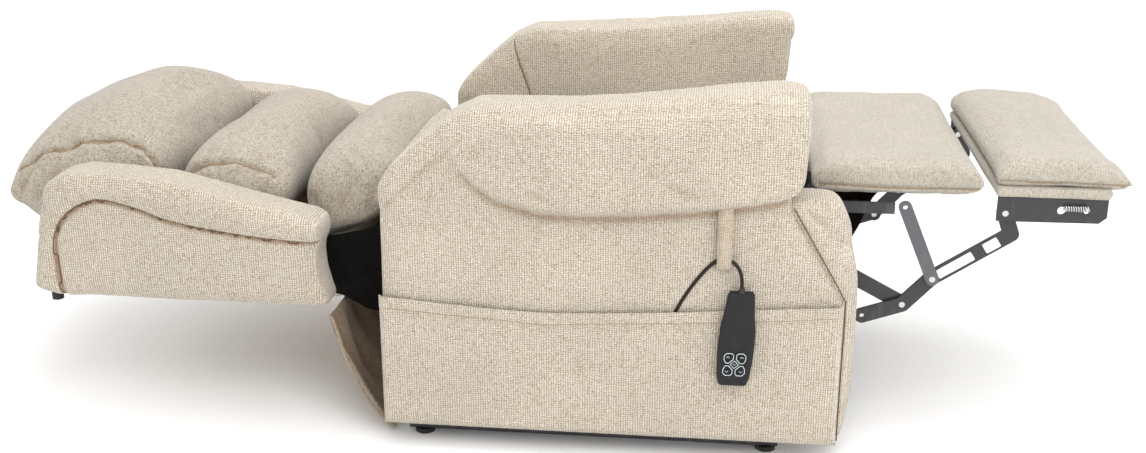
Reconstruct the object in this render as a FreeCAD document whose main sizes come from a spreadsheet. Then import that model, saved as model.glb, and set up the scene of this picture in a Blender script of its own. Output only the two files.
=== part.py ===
import FreeCAD, Part, Sketcher
import math
import os

# Lift recliner chair, laid flat with the leg rest out. +X points to the foot end,
# +Z up, the sitter's right-hand side is -Y, and the floor is z = 0. Sizes in millimetres.

Vector = FreeCAD.Vector
Rotation = FreeCAD.Rotation
os.makedirs("parts", exist_ok=True)
doc = FreeCAD.newDocument("lift_recliner_chair")
sheet = doc.addObject("Spreadsheet::Sheet", "Dims")

# ---- driving dimensions --------------------------------------------------------------

DIMENSIONS = {
    # side panels and arms
    "panel_rear": -250, "panel_front": 529, "panel_low": 36, "panel_outer": 385,
    "panel_inner": 346, "slope_low": 455, "slope_run": 160,
    "inner_face": 287, "inner_skin": 13, "inner_low": 180,
    "pad_outer": 418, "pad_front": 446, "pad_low": 450, "pad_high": 638,
    # seat
    "rail_inner": 266, "rail_width": 18, "rail_low": 335, "rail_height": 45,
    "rail_rear": -160, "rail_front": 470, "seat_half": 270, "seat_low": 412,
    "seat_high": 468, "seat_rear": -96, "seat_front": 452,
    "spring_level": 402.5, "spring_wire": 3.6,
    # base
    "runner_rear": -215, "runner_front": 420, "runner_side": 318, "runner_width": 24,
    "foot_height": 8, "runner_height": 25, "foot_radius": 17,
    # lift linkage
    "lift_x": 360, "lift_z": 80, "tilt_x": -120, "tilt_z": 120,
    "arm_side": 306, "arm_plate": 8, "arm_half": 18,
    "lift_tube_x": 300, "lift_tube_z": 90, "motor_x": -150, "motor_z": 70, "motor_pin": 6,
    # back
    "hinge_x": -175, "hinge_z": 354, "back_drive_x": -215, "back_drive_z": 280,
    "wing_inner": 276, "wing_outer": 362, "pillow_half": 266,
    # leg-rest linkage
    "knee_x": 450, "knee_z": 330, "mid_x": 620, "mid_z": 240, "elbow_x": 786,
    "elbow_z": 372, "foot_x": 772, "foot_z": 410, "tail_x": 555, "tail_z": 217,
    "prop_x": 665, "prop_z": 290, "prop_top_x": 612, "prop_top_z": 414,
    "crank_x": 480, "crank_z": 300, "link_plate": 5, "link_half": 13,
    "lane_inner": 238, "lane_middle": 245, "lane_outer": 252, "lane_bracket": 259,
    # leg-rest cushions
    "foot_half": 272, "foot_near": 748, "foot_far": 977, "foot_low": 452,
    "foot_high": 500, "calf_near": 456, "calf_far": 744, "calf_low": 433, "calf_high": 492,
    # handset, pocket and cord
    "handset_x": 348, "handset_top": 312, "handset_low": 152, "handset_y": -407,
    "handset_half": 29, "handset_thick": 18, "relief_height": 8.4, "handset_lean": 0.06,
    "pocket_gap": 9, "pocket_skin": 3, "cord_diameter": 6,
    # fits and fixings
    "pin_radius": 8, "pin_play": 0.05, "rivet_radius": 5, "tube_radius": 10,
    "drive_tube": 8,
}


class Size:
    """A length: its value, and the sheet expression that gives it."""

    def __init__(self, value, text):
        self.value = value
        self.text = text

    @staticmethod
    def of(thing):
        return thing if isinstance(thing, Size) else Size(float(thing), repr(float(thing)))

    def join(self, other, sign, value):
        return Size(value, "(%s %s %s)" % (self.text, sign, Size.of(other).text))

    def __add__(self, other):
        return self.join(other, "+", self.value + Size.of(other).value)

    def __radd__(self, other):
        return Size.of(other) + self

    def __sub__(self, other):
        return self.join(other, "-", self.value - Size.of(other).value)

    def __rsub__(self, other):
        return Size.of(other) - self

    def __mul__(self, other):
        return self.join(other, "*", self.value * Size.of(other).value)

    def __truediv__(self, other):
        return self.join(other, "/", self.value / Size.of(other).value)

    def __neg__(self):
        return Size.of(0) - self


class Sizes:
    """The sheet's cells by name."""


S = Sizes()
for row, (name, value) in enumerate(DIMENSIONS.items(), start=1):
    sheet.set("A%d" % row, name)
    sheet.set("B%d" % row, str(value))
    sheet.setAlias("B%d" % row, name)
    setattr(S, name, Size(float(value), "Dims." + name))
doc.recompute()

nodes = []


def node(name, thing):
    """Names a finished sub-part and keeps it for export."""
    thing.Label = name
    nodes.append(thing)
    return thing


def bind(thing, prop, size):
    thing.setExpression(prop, Size.of(size).text)


def place(thing, x, y, z, turn=None):
    thing.Placement = FreeCAD.Placement(Vector(0, 0, 0), turn or Rotation())
    bind(thing, ".Placement.Base.x", x)
    bind(thing, ".Placement.Base.y", y)
    bind(thing, ".Placement.Base.z", z)
    return thing


# ---- primitives ----------------------------------------------------------------------


def box(x, y, z):
    """A block between two values along each axis."""
    thing = doc.addObject("Part::Box", "Block")
    for prop, span in (("Length", x), ("Width", y), ("Height", z)):
        bind(thing, prop, Size.of(span[1]) - span[0])
    return place(thing, x[0], y[0], z[0])


def rod(axis, start, length, radius):
    """A cylinder along +X, +Y or +Z from its start point."""
    turn = {"x": Rotation(Vector(0, 1, 0), 90), "y": Rotation(Vector(1, 0, 0), -90), "z": Rotation()}
    thing = doc.addObject("Part::Cylinder", "Rod")
    bind(thing, "Radius", radius)
    bind(thing, "Height", length)
    return place(thing, *start, turn[axis])


def fuse(*things):
    joined = doc.addObject("Part::MultiFuse", "Joined")
    joined.Shapes = list(things)
    joined.Refine = True
    return joined


def cut(base, *tools):
    for tool in tools:
        piece = doc.addObject("Part::Cut", "Cut")
        piece.Base = base
        piece.Tool = tool
        base = piece
    return base


def group(*things):
    """Separate solids that share one node."""
    pieces = doc.addObject("Part::Compound", "Set")
    pieces.Links = list(things)
    return pieces


def soften(thing, radius, along=None, near=None):
    """Rounds straight edges, those along one axis or all of them."""
    doc.recompute()
    edges = []
    for index, edge in enumerate(thing.Shape.Edges, start=1):
        if along is not None:
            line = edge.Vertexes[-1].Point - edge.Vertexes[0].Point
            if line.Length < 1 or abs(line.normalize().dot(along)) < 0.99:
                continue
        if near is not None and not near(edge.CenterOfMass):
            continue
        edges.append((index, radius, radius))
    rounded = doc.addObject("Part::Fillet", "Rounded")
    rounded.Base = thing
    rounded.Edges = edges
    return rounded


def plate(outline, side, thickness, holes=()):
    """A body padded along -Y from its outline in the XZ plane; side is its +Y face."""
    body = doc.addObject("PartDesign::Body", "Plate")
    sketch = body.newObject("Sketcher::SketchObject", "Outline")
    plane = next(p for p in body.Origin.OriginFeatures if p.Role == "XZ_Plane")
    sketch.AttachmentSupport = (plane, [""])
    sketch.MapMode = "FlatFace"
    corners = [(Size.of(x), Size.of(z)) for x, z in outline]
    spots = [Vector(x.value, z.value, 0) for x, z in corners]
    for index, spot in enumerate(spots):
        sketch.addGeometry(Part.LineSegment(spot, spots[(index + 1) % len(spots)]), False)
    for index in range(len(spots)):
        following = (index + 1) % len(spots)
        sketch.addConstraint(Sketcher.Constraint("Coincident", index, 2, following, 1))
    for index, (x, z) in enumerate(corners):
        for kind, size in (("DistanceX", x), ("DistanceY", z)):
            number = sketch.addConstraint(Sketcher.Constraint(kind, -1, 1, index, 1, size.value))
            sketch.setExpression("Constraints[%d]" % number, size.text)
    for x, z, radius in holes:
        sizes = Size.of(x), Size.of(z), Size.of(radius)
        centre = Vector(sizes[0].value, sizes[1].value, 0)
        ring = sketch.addGeometry(Part.Circle(centre, Vector(0, 0, 1), sizes[2].value), False)
        for kind, size in (("DistanceX", sizes[0]), ("DistanceY", sizes[1])):
            number = sketch.addConstraint(Sketcher.Constraint(kind, -1, 1, ring, 3, size.value))
            sketch.setExpression("Constraints[%d]" % number, size.text)
        number = sketch.addConstraint(Sketcher.Constraint("Radius", ring, sizes[2].value))
        sketch.setExpression("Constraints[%d]" % number, sizes[2].text)
    pad = body.newObject("PartDesign::Pad", "Pad")
    pad.Profile = sketch
    bind(pad, "Length", thickness)
    return place(body, 0, side, 0)


def strap(points, half, side, thickness, holes=()):
    """A flat link of one width through its points, with round ends and bends."""
    pieces = []
    for start, end in zip(points, points[1:]):
        ax, az, bx, bz = (Size.of(v).value for v in (*start, *end))
        length = math.hypot(bx - ax, bz - az)
        bar = doc.addObject("Part::Box", "Bar")
        bar.Length = length
        bind(bar, "Width", thickness)
        bind(bar, "Height", Size.of(half) * 2)
        turn = Rotation(Vector(0, 1, 0), -math.degrees(math.atan2(bz - az, bx - ax)))
        corner = turn.multVec(Vector(0, 0, -Size.of(half).value))
        pieces.append(place(bar, Size.of(start[0]) + corner.x, side, Size.of(start[1]) + corner.z, turn))
    for x, z in points:
        pieces.append(rod("y", (x, side, z), thickness, half))
    tools = [rod("y", (x, Size.of(side) - 1, z), Size.of(thickness) + 2, radius)
             for x, z, radius in holes]
    return cut(fuse(*pieces), *tools)


def both_sides(make):
    """The same piece on the right (-Y) and on the left (+Y), as one node."""
    return group(make(-1), make(1))


def lane(sign, inner, width):
    """The lower Y of a piece that lies from inner to inner + width out from the middle."""
    return Size.of(inner) if sign > 0 else -(Size.of(inner) + width)


def side_plate(outline, inner, thickness, holes=()):
    """A plate on each side, its inner face at the given distance from the middle."""
    return both_sides(lambda sign: plate(outline, lane(sign, inner, thickness) + thickness,
                                         thickness, holes))


# ---- base ----------------------------------------------------------------------------


def make_base():
    low, high = S.foot_height, S.foot_height + S.runner_height

    def runner(sign):
        start = lane(sign, S.runner_side, S.runner_width)
        span = (start, start + S.runner_width)
        return soften(box((S.runner_rear, S.runner_front), span, (low, high)), 4,
                      along=Vector(1, 0, 0))

    node("base_runners", both_sides(runner))
    tubes = [box((x, x + 25), (-S.runner_side, S.runner_side), (low, high))
             for x in (S.runner_rear + 10, S.runner_front - 50)]
    node("base_cross_tubes", group(*tubes))
    spots = [(x, sign * (S.runner_side.value + 12)) for x in (-190, 400) for sign in (-1, 1)]
    node("base_feet", group(*[rod("z", (x, y, 0), low, S.foot_radius) for x, y in spots]))

    ear = [(S.lift_x - 26, high), (S.lift_x + 26, high), (S.lift_x + 13, S.lift_z + 14),
           (S.lift_x - 13, S.lift_z + 14)]
    ears = [plate(ear, lane(sign, S.runner_side, 7) + 7, 7,
                  [(S.lift_x, S.lift_z, S.pin_radius + S.pin_play)]) for sign in (-1, 1)]
    lug = [(S.motor_x - 50, high), (S.motor_x - 2, high), (S.motor_x + 14, S.motor_z - 8),
           (S.motor_x + 14, S.motor_z + 14), (S.motor_x - 14, S.motor_z + 14)]
    lugs = [plate(lug, y, 6, [(S.motor_x, S.motor_z, S.motor_pin + S.pin_play)]) for y in (-23, 29)]
    node("base_brackets", group(*ears, *lugs))
    pins = [rod("y", (S.lift_x, lane(sign, S.arm_side - 3, 24), S.lift_z), 24, S.pin_radius)
            for sign in (-1, 1)]
    node("base_pivot_pins", group(*pins))


def make_lift_arms():
    line = [(S.lift_x, S.lift_z), (S.lift_tube_x, S.lift_tube_z), (S.tilt_x, S.tilt_z)]
    bores = [(S.lift_x, S.lift_z, S.pin_radius + S.pin_play),
             (S.tilt_x, S.tilt_z, S.pin_radius + S.pin_play)]
    node("lift_arm_plates", both_sides(lambda sign: strap(
        line, S.arm_half, lane(sign, S.arm_side, S.arm_plate), S.arm_plate, bores)))
    tubes = [rod("y", (S.lift_tube_x, -S.arm_side, S.lift_tube_z), S.arm_side * 2, S.tube_radius),
             rod("y", (-60, -S.arm_side, 116), S.arm_side * 2, S.tube_radius)]
    node("lift_arm_cross_tubes", group(*tubes))


# ---- seat and mechanism on the chassis -----------------------------------------------


def serpentine(y):
    """One sinuous spring: half loops of wire joined by straight legs, lying flat."""
    rear, front = DIMENSIONS["rail_rear"] + 12, DIMENSIONS["seat_front"] - 18
    loops, reach, level = 14, 20, DIMENSIONS["spring_level"]
    radius = (front - rear) / loops / 2
    edges, x, side = [], rear, 1
    for _ in range(loops):
        begin, end = Vector(x, y - side * reach, level), Vector(x, y + side * reach, level)
        after = Vector(x + 2 * radius, y + side * reach, level)
        top = Vector(x + radius, y + side * (reach + radius), level)
        edges.append(Part.LineSegment(begin, end).toShape())
        edges.append(Part.Arc(end, top, after).toShape())
        x, side = x + 2 * radius, -side
    edges.append(Part.LineSegment(edges[-1].Vertexes[-1].Point,
                                  Vector(x, y + side * reach, level)).toShape())
    section = Part.Circle(edges[0].Vertexes[0].Point, Vector(0, 1, 0),
                          DIMENSIONS["spring_wire"] / 2).toShape()
    return Part.Wire(edges).makePipeShell([Part.Wire([section])], True, False, 2)


def solid_feature(name, shape):
    feature = doc.addObject("Part::Feature", name)
    feature.Shape = shape
    feature.Placement = FreeCAD.Placement()
    return node(name, feature)


BACK_MOTOR, LEG_MOTOR = (200, 190), (0, 200)


def make_seat():
    rail_high = S.rail_low + S.rail_height

    def rail(sign):
        start = lane(sign, S.rail_inner, S.rail_width)
        return box((S.rail_rear, S.rail_front), (start, start + S.rail_width), (S.rail_low, rail_high))

    node("seat_rails", both_sides(rail))
    across = (-S.lane_bracket + 0.2, S.lane_bracket - 0.2)
    bars = [box((x, x + 22), across, (rail_high - 3, rail_high + 20))
            for x in (S.rail_rear, S.seat_front - 24)]
    reach = S.inner_face
    tubes = [rod("y", (x, -reach, z), reach * 2, S.motor_pin) for x, z in (BACK_MOTOR, LEG_MOTOR)]
    node("seat_cross_rails", group(*bars, *tubes))
    springs = [serpentine(y) for y in (-180, -90, 0, 90, 180)]
    solid_feature("seat_springs", Part.Compound(springs))
    cushion = box((S.seat_rear, S.seat_front), (-S.seat_half, S.seat_half), (S.seat_low, S.seat_high))
    node("seat_cushion", soften(cushion, 20, near=lambda p: p.z > DIMENSIONS["seat_low"] + 1))
    pad = box((S.calf_near, S.calf_far), (-S.foot_half, S.foot_half), (S.calf_low, S.calf_high))
    node("calf_pad", soften(pad, 22))


def make_mechanism_brackets():
    hanger = [(S.tilt_x - 24, S.rail_low), (S.tilt_x + 24, S.rail_low), (S.tilt_x + 16, S.tilt_z - 14),
              (S.tilt_x - 16, S.tilt_z - 14)]
    node("lift_hangers", side_plate(hanger, S.rail_inner + 8, 10))
    knee = [(S.knee_x - 20, S.knee_z - 16), (S.knee_x + 16, S.knee_z - 16), (S.knee_x + 22, 383),
            (S.knee_x + 40, 405), (594, 405), (594, 424), (S.calf_near + 4, 424),
            (S.calf_near, S.seat_low - 1), (S.knee_x - 20, S.seat_low - 1)]
    hinge = [(S.hinge_x - 22, S.hinge_z - 20), (-110, S.hinge_z - 20), (-110, 378),
             (S.hinge_x - 8, 378), (S.hinge_x - 22, S.hinge_z + 10)]
    play = S.pin_radius + S.pin_play
    plates = [plate(shape, lane(sign, S.lane_bracket, 6) + 6, 6, holes)
              for sign in (-1, 1)
              for shape, holes in ((knee, [(S.knee_x, S.knee_z, 6)]),
                                   (hinge, [(S.hinge_x, S.hinge_z, play)]))]
    node("mechanism_brackets", group(*plates))
    pins = []
    for sign in (-1, 1):
        start = lane(sign, S.rail_inner + 18.2, 31.8)
        pins.append(rod("y", (S.tilt_x, start, S.tilt_z), 31.8, S.pin_radius))
        knee_start = lane(sign, S.lane_inner, S.lane_bracket + 6 - S.lane_inner)
        pins.append(rod("y", (S.knee_x, knee_start, S.knee_z),
                        S.lane_bracket + 6 - S.lane_inner, 6))
    node("mechanism_pins", group(*pins))


# ---- arms ----------------------------------------------------------------------------


def make_arms():
    top_rear = S.panel_rear + S.slope_run
    outline = [(S.panel_rear, S.panel_low), (S.panel_front, S.panel_low), (S.panel_front, 292),
               (S.pad_front - 5, S.pad_low), (S.pad_front - 5, 600), (top_rear, 565),
               (S.panel_rear, S.slope_low - 40)]
    thickness = S.panel_outer - S.panel_inner
    for side, sign in (("right", -1), ("left", 1)):
        start = lane(sign, S.panel_inner, thickness)
        panel = plate(outline, start + thickness, thickness)
        outer = sign * DIMENSIONS["panel_outer"]
        rounded = soften(panel, 9, near=lambda p, y=outer: abs(p.y - y) < 0.5)
        node(side + "_arm_panel", rounded)
        # the pad wraps the top of the arm and hangs over the outside of the panel
        crest = [(S.panel_rear, S.slope_low - 38), (top_rear, 567), (S.pad_front, 602),
                 (S.pad_front, S.pad_high), (S.pad_front - 20, S.pad_high), (116, 614),
                 (top_rear + 10, 601), (S.panel_rear, S.slope_low)]
        width = S.panel_outer - S.inner_face
        top = plate(crest, lane(sign, S.inner_face, width) + width, width)
        droop = [(top_rear + 6, S.pad_low + 46), (0, S.pad_low - 16), (130, S.pad_low - 10),
                 (S.pad_front - 30, S.pad_low + 14), (S.pad_front, S.pad_low + 30),
                 (S.pad_front, S.pad_high - 16), (116, 598), (top_rear + 20, 585)]
        roll_width = S.pad_outer - S.panel_outer
        roll = plate(droop, lane(sign, S.panel_outer, roll_width) + roll_width, roll_width)
        rim = sign * DIMENSIONS["pad_outer"]
        roll = soften(roll, 14, near=lambda p, y=rim: abs(p.y - y) < 0.5)
        node(side + "_arm_pad", fuse(top, roll))
    skin = [(S.panel_rear + 6, S.inner_low), (S.panel_front - 38, S.inner_low),
            (S.panel_front - 38, 330), (S.pad_front - 8, 440), (S.pad_front - 8, 601),
            (top_rear, 566), (S.panel_rear + 6, 420)]
    node("arm_inner_panels", side_plate(skin, S.inner_face, S.inner_skin))
    front = [(S.panel_front - 37, S.panel_low), (S.panel_front, S.panel_low), (S.panel_front, 452),
             (S.panel_front - 10, 463), (S.pad_front + 1, 463), (S.pad_front + 1, 446),
             (S.pad_front - 7, 438), (S.panel_front - 37, 332)]
    node("arm_front_borders", side_plate(front, S.inner_face, S.panel_inner - S.inner_face))


def make_rear_flap():
    """The cloth behind the seat box, from under the back down to the floor."""
    drop = [(-344, 208), (-331, 137), (-303, 70), (-264, 20), (-238, 8), (-238, 12),
            (-262, 24), (-299, 73), (-327, 139), (-340, 209)]
    node("rear_flap", plate(drop, 343, 686))


# ---- back ----------------------------------------------------------------------------


def make_back():
    edge = [(-875, 245), (-830, 445), (-770, 471), (-610, 463), (-480, 430), (-338, 401),
            (-350, 348), (-336, 217), (-817, 220)]
    thickness = S.wing_outer - S.wing_inner
    for side, sign in (("right", -1), ("left", 1)):
        start = lane(sign, S.wing_inner, thickness)
        wing = plate(edge, start + thickness, thickness)
        outer = sign * DIMENSIONS["wing_outer"]
        node(side + "_wing", soften(wing, 16, near=lambda p, y=outer: abs(p.y - y) < 0.5))
    side_low, side_high = -S.wing_inner + 1, S.wing_inner - 1
    shell = [(-872, 245), (-866, 232), (-817, 222), (-345, 217), (-345, 229), (-812, 234), (-858, 247)]
    node("back_shell", plate(shell, side_high, side_high - side_low))
    lining = [(-344, 218), (-338, 218), (-286, 330), (-292, 333), (-344, 240)]
    node("back_lining", plate(lining, 240, 480))
    stile = [(-845, 250), (-350, 232), (-300, 250), (-300, 275), (-350, 262), (-835, 282)]
    stiles = [plate(stile, lane(sign, 244, 20) + 20, 20) for sign in (-1, 1)]
    rails = [box((x, x + 20), (-244, 244), (z, z + 22)) for x, z in ((-800, 254), (-560, 247), (-370, 240))]
    node("back_frame", group(*stiles, *rails))
    arm = [(-350, 262), (-300, 275), (-230, 262), (-200, 262), (-195, 300), (S.hinge_x + 16, S.hinge_z - 14),
           (S.hinge_x + 16, S.hinge_z + 14), (S.hinge_x - 16, S.hinge_z + 16), (-240, 310), (-350, 284)]
    hinge_holes = [(S.hinge_x, S.hinge_z, S.pin_radius)]
    plates = [plate(arm, lane(sign, 250, 8) + 8, 8, hinge_holes) for sign in (-1, 1)]
    node("back_hinge_plates", group(*plates))
    pins = [rod("y", (S.hinge_x, lane(sign, 250, 15.5), S.hinge_z), 15.5, S.pin_radius)
            for sign in (-1, 1)]
    drive = rod("y", (S.back_drive_x, -250, S.back_drive_z), 500, S.drive_tube)
    node("back_pins_and_tube", group(*pins, drive))
    pegs = [rod("z", (-854, y, 206), 26, 10) for y in (-300, 300)]
    node("back_bumpers", group(*pegs))

    half = S.pillow_half
    head = [(-972, 372), (-976, 400), (-950, 455), (-890, 505), (-800, 536), (-730, 541),
            (-668, 520), (-640, 470), (-650, 420), (-720, 300), (-850, 288), (-880, 296)]
    middle = [(-637, 466), (-600, 502), (-520, 506), (-452, 482), (-418, 440), (-425, 380),
              (-500, 296), (-640, 296), (-645, 420)]
    lumbar = [(-414, 440), (-375, 488), (-310, 500), (-250, 470), (-234, 420), (-262, 372),
              (-320, 330), (-400, 296), (-420, 380)]
    for name, shape in (("head_pillow", head), ("mid_pillow", middle), ("lumbar_pillow", lumbar)):
        pillow = plate(shape, half, half * 2)
        ends = soften(pillow, 15, near=lambda p: abs(p.y) > DIMENSIONS["pillow_half"] - 1)
        node(name, ends)


# ---- leg rest ------------------------------------------------------------------------


def make_leg_rest():
    knee, mid, elbow = (S.knee_x, S.knee_z), (S.mid_x, S.mid_z), (S.elbow_x, S.elbow_z)
    foot, tail, prop = (S.foot_x, S.foot_z), (S.tail_x, S.tail_z), (S.prop_x, S.prop_z)
    hole = S.rivet_radius + S.pin_play
    width = S.link_plate

    def lower(sign):
        start = lane(sign, S.lane_inner, width)
        arm = strap([knee, mid], S.link_half, start, width)
        crank = strap([knee, (S.crank_x, S.crank_z)], S.link_half, start, width)
        bores = [rod("y", (x, start - 1, z), width + 2, radius)
                 for x, z, radius in ((*knee, 6 + S.pin_play), (*mid, hole))]
        return cut(fuse(arm, crank), *bores)

    inner = S.lane_inner
    tube = rod("y", (S.crank_x, -inner, S.crank_z), inner * 2, S.drive_tube)
    node("lower_leg_links", group(lower(-1), lower(1), tube))
    node("bent_leg_links", both_sides(lambda sign: strap(
        [tail, mid, prop, elbow, foot], S.link_half, lane(sign, S.lane_middle, width), width,
        [(*tail, 4), (*mid, S.rivet_radius), (*foot, S.rivet_radius), (*prop, S.rivet_radius)])))
    pins = []
    for sign in (-1, 1):
        inward = S.lane_middle + width - inner
        outward = S.lane_outer + width - S.lane_middle
        pins.append(rod("y", (*mid[:1], lane(sign, inner, inward), mid[1]), inward, S.rivet_radius))
        for x, z in (foot, prop):
            pins.append(rod("y", (x, lane(sign, S.lane_middle, outward), z), outward, S.rivet_radius))
    node("leg_link_pins", group(*pins))
    node("upright_leg_links", both_sides(lambda sign: strap(
        [prop, (S.prop_top_x, S.prop_top_z)], 11, lane(sign, S.lane_outer, width), width,
        [(*prop, hole), (S.prop_top_x, S.prop_top_z, 4)])))
    shape = [(S.foot_x - 14, S.foot_z - 13), (S.foot_x + 30, S.foot_z - 13), (920, 398), (932, 408),
             (932, 438), (S.foot_x - 14, 438)]
    node("foot_brackets", side_plate(shape, S.lane_outer, width,
                                     [(*foot, hole), (860, 418, 7), (900, 418, 5)]))
    board = [(S.foot_near + 4, 438.3), (936, 438.3), (936, 451.5), (S.foot_near + 4, 451.5)]
    half = S.foot_half - 10
    node("foot_board", plate(board, half, half * 2))
    coils = [coil_spring(sign * 263) for sign in (-1, 1)]
    solid_feature("bracket_springs", Part.Compound(coils))
    pad = box((S.foot_near, S.foot_far), (-S.foot_half, S.foot_half), (S.foot_low, S.foot_high))
    node("foot_pad", soften(pad, 18))


COIL_START, COIL_LEVEL = 862, 424
COIL_PITCH, COIL_LENGTH, COIL_RADIUS, COIL_WIRE = 3.8, 38, 4.1, 1.35


def coil_spring(y):
    """The small tension spring that lies along each foot bracket."""
    helix = Part.makeHelix(COIL_PITCH, COIL_LENGTH, COIL_RADIUS)
    ring = Part.Circle(Vector(COIL_RADIUS, 0, 0), Vector(0, 1, 0), COIL_WIRE)
    spring = Part.Wire(helix.Edges).makePipeShell([Part.Wire([ring.toShape()])], True, True)
    spring.rotate(Vector(0, 0, 0), Vector(0, 1, 0), 90)
    spring.translate(Vector(COIL_START, y, COIL_LEVEL))
    return spring


# ---- actuators -----------------------------------------------------------------------


SHAFT_RADIUS, BORE_PLAY, SHAFT_START = 9, 0.05, 72


def make_actuator(name, pivot, pin, y, eye_play, pin_radius, retract=0):
    """A motor on its pivot pin, and the rod that it drives; both lie along one line.

    The eye at the rod's end has play round its pin, which takes up the arc of the lever.
    """
    pivot, pin = [tuple(Size.of(v).value for v in spot) for spot in (pivot, pin)]
    length = math.hypot(pin[0] - pivot[0], pin[1] - pivot[1])
    turn = Rotation(Vector(0, 1, 0), -math.degrees(math.atan2(pin[1] - pivot[1], pin[0] - pivot[0])))
    eye = pin_radius + eye_play
    boss = rod("y", (0, -14, 0), 28, 14)
    housing = box((8, 62), (-20, 20), (-20, 20))
    sleeve = rod("x", (60, 0, 0), length * 0.55 - 60, 15)
    can = rod("x", (20, 0, -38), 96, 19)
    bridge = box((24, 50), (-14, 14), (-30, -10))
    bore = rod("x", (66, 0, 0), length, SHAFT_RADIUS + BORE_PLAY)
    pivot_hole = rod("y", (0, -15, 0), 30, S.motor_pin + S.pin_play)
    motor = cut(fuse(boss, housing, sleeve, can, bridge), bore, pivot_hole)
    shaft_start = SHAFT_START + retract
    shaft = rod("x", (shaft_start, 0, 0), length - shaft_start - eye - 1, SHAFT_RADIUS)
    ring = rod("y", (length, -11, 0), 22, eye + 6)
    rod_end = cut(fuse(shaft, ring), rod("y", (length, -12, 0), 24, eye))
    for part, label in ((motor, "_motor"), (rod_end, "_rod")):
        part.Placement = FreeCAD.Placement(Vector(pivot[0], y, pivot[1]), turn)
        node(name + label, part)


# ---- pocket, handset and cord --------------------------------------------------------

CORD_ROUTE = [(205, -389.6, 60), (240, -389.6, 60), (264, -389.6, 80), (266, -389.6, 118),
              (250, -389.6, 162), (228, -389.6, 202), (236, -389.6, 254), (262, -389.8, 304),
              (292, -390.6, 346), (312, -392.4, 362), (334, -398, 361), (348, -407, 342),
              (348, -407, 322)]


def cord_path(points):
    """Straight runs joined by tangent arcs of 0.45 of the shorter run over tan(half turn)."""
    spots = [Vector(*p) for p in points]
    edges, at = [], spots[0]
    for before, corner, after in zip(spots, spots[1:], spots[2:]):
        into, out = corner - before, after - corner
        trim = 0.45 * min(into.Length, out.Length)
        half_turn = into.getAngle(out) / 2
        radius = trim / math.tan(half_turn)
        into.normalize()
        out.normalize()
        first, last = corner - into * trim, corner + out * trim
        bisector = (out - into).normalize()
        centre = corner + bisector * (radius / math.cos(half_turn))
        middle = centre - bisector * radius
        print("cord arc radius %.1f turn %.1f" % (radius, math.degrees(half_turn * 2)))
        edges.append(Part.LineSegment(at, first).toShape())
        edges.append(Part.Arc(first, middle, last).toShape())
        at = last
    edges.append(Part.LineSegment(at, spots[-1]).toShape())
    return Part.Wire(edges)


def make_cord():
    path = cord_path(CORD_ROUTE)
    start = Vector(*CORD_ROUTE[0])
    radius = DIMENSIONS["cord_diameter"] / 2
    section = Part.Wire([Part.Circle(start, Vector(*CORD_ROUTE[1]) - start, radius).toShape()])
    tube = path.makePipeShell([section], True, False, 0)
    expected = math.pi * radius ** 2 * path.Length
    print("cord length %.1f volume %.1f expected %.1f" % (path.Length, tube.Volume, expected))
    solid_feature("handset_cord", tube)


GROMMET_Y = -389.6


def make_pocket():
    """A cloth panel over the lower side panel, open along its top edge."""
    inner, outer = S.panel_outer + S.pocket_gap, S.panel_outer + S.pocket_gap + S.pocket_skin
    sheet_outline = [(S.panel_rear + 4, 40), (S.panel_front - 5, 40), (S.panel_front - 5, 290),
                     (300, 272), (28, 256), (S.panel_rear + 4, 274)]
    cloth = plate(sheet_outline, -inner, S.pocket_skin)
    ends = [box(x, (-inner, -S.panel_outer), (40, z))
            for x, z in (((S.panel_rear + 4, S.panel_rear + 16), 272), ((S.panel_front - 17, S.panel_front - 5), 288))]
    hem = box((S.panel_rear + 16, S.panel_front - 17), (-inner, -S.panel_outer), (40, 46))
    node("side_pocket", fuse(cloth, *ends, hem))
    # the strap hangs from under the arm pad as a loop that holds the cord
    width = (307, 330)
    leaves = [box(width, (-388, -386), (346, 454)), box(width, (-403, -401), (346, 454)),
              box(width, (-403, -386), (344, 346.5)), box(width, (-403, -386), (450, 454))]
    node("handset_strap", fuse(*leaves))
    grommet = rod("x", (193, GROMMET_Y, 60), 12, 4.4)
    node("cord_grommet", cut(grommet, rod("x", (192, GROMMET_Y, 60), 10, 2.2)))


KEY_LEVEL, KEY_INNER, KEY_WIDE, KEY_TALL, KEY_CORNER = 191, 1.2, 18.5, 20.5, 9.9
CENTRE_KEY, KEY_CLEARANCE, KEY_PROUD, KEY_LENGTH, WELL_DEPTH = 8.3, 0.4, 1.3, 5.5, 7.5


def key_outline(side, rise, grow):
    """Offsets of one of the four keys round the centre key, its inner corner cut off."""
    inner, wide, tall = KEY_INNER - grow, KEY_WIDE + grow, KEY_TALL + grow
    corner = KEY_CORNER - grow * math.sqrt(2) - inner
    ring = [(inner, corner), (corner, inner), (wide - 3, inner), (wide, inner + 6), (wide, tall - 4),
            (wide - 4, tall), (inner + 3, tall), (inner, tall - 3)]
    return [(side * dx, rise * dz) for dx, dz in (ring if side * rise > 0 else reversed(ring))]


def centre_outline(grow):
    reach = CENTRE_KEY + grow * math.sqrt(2)
    return [(reach, 0), (0, reach), (-reach, 0), (0, -reach)]


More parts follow.
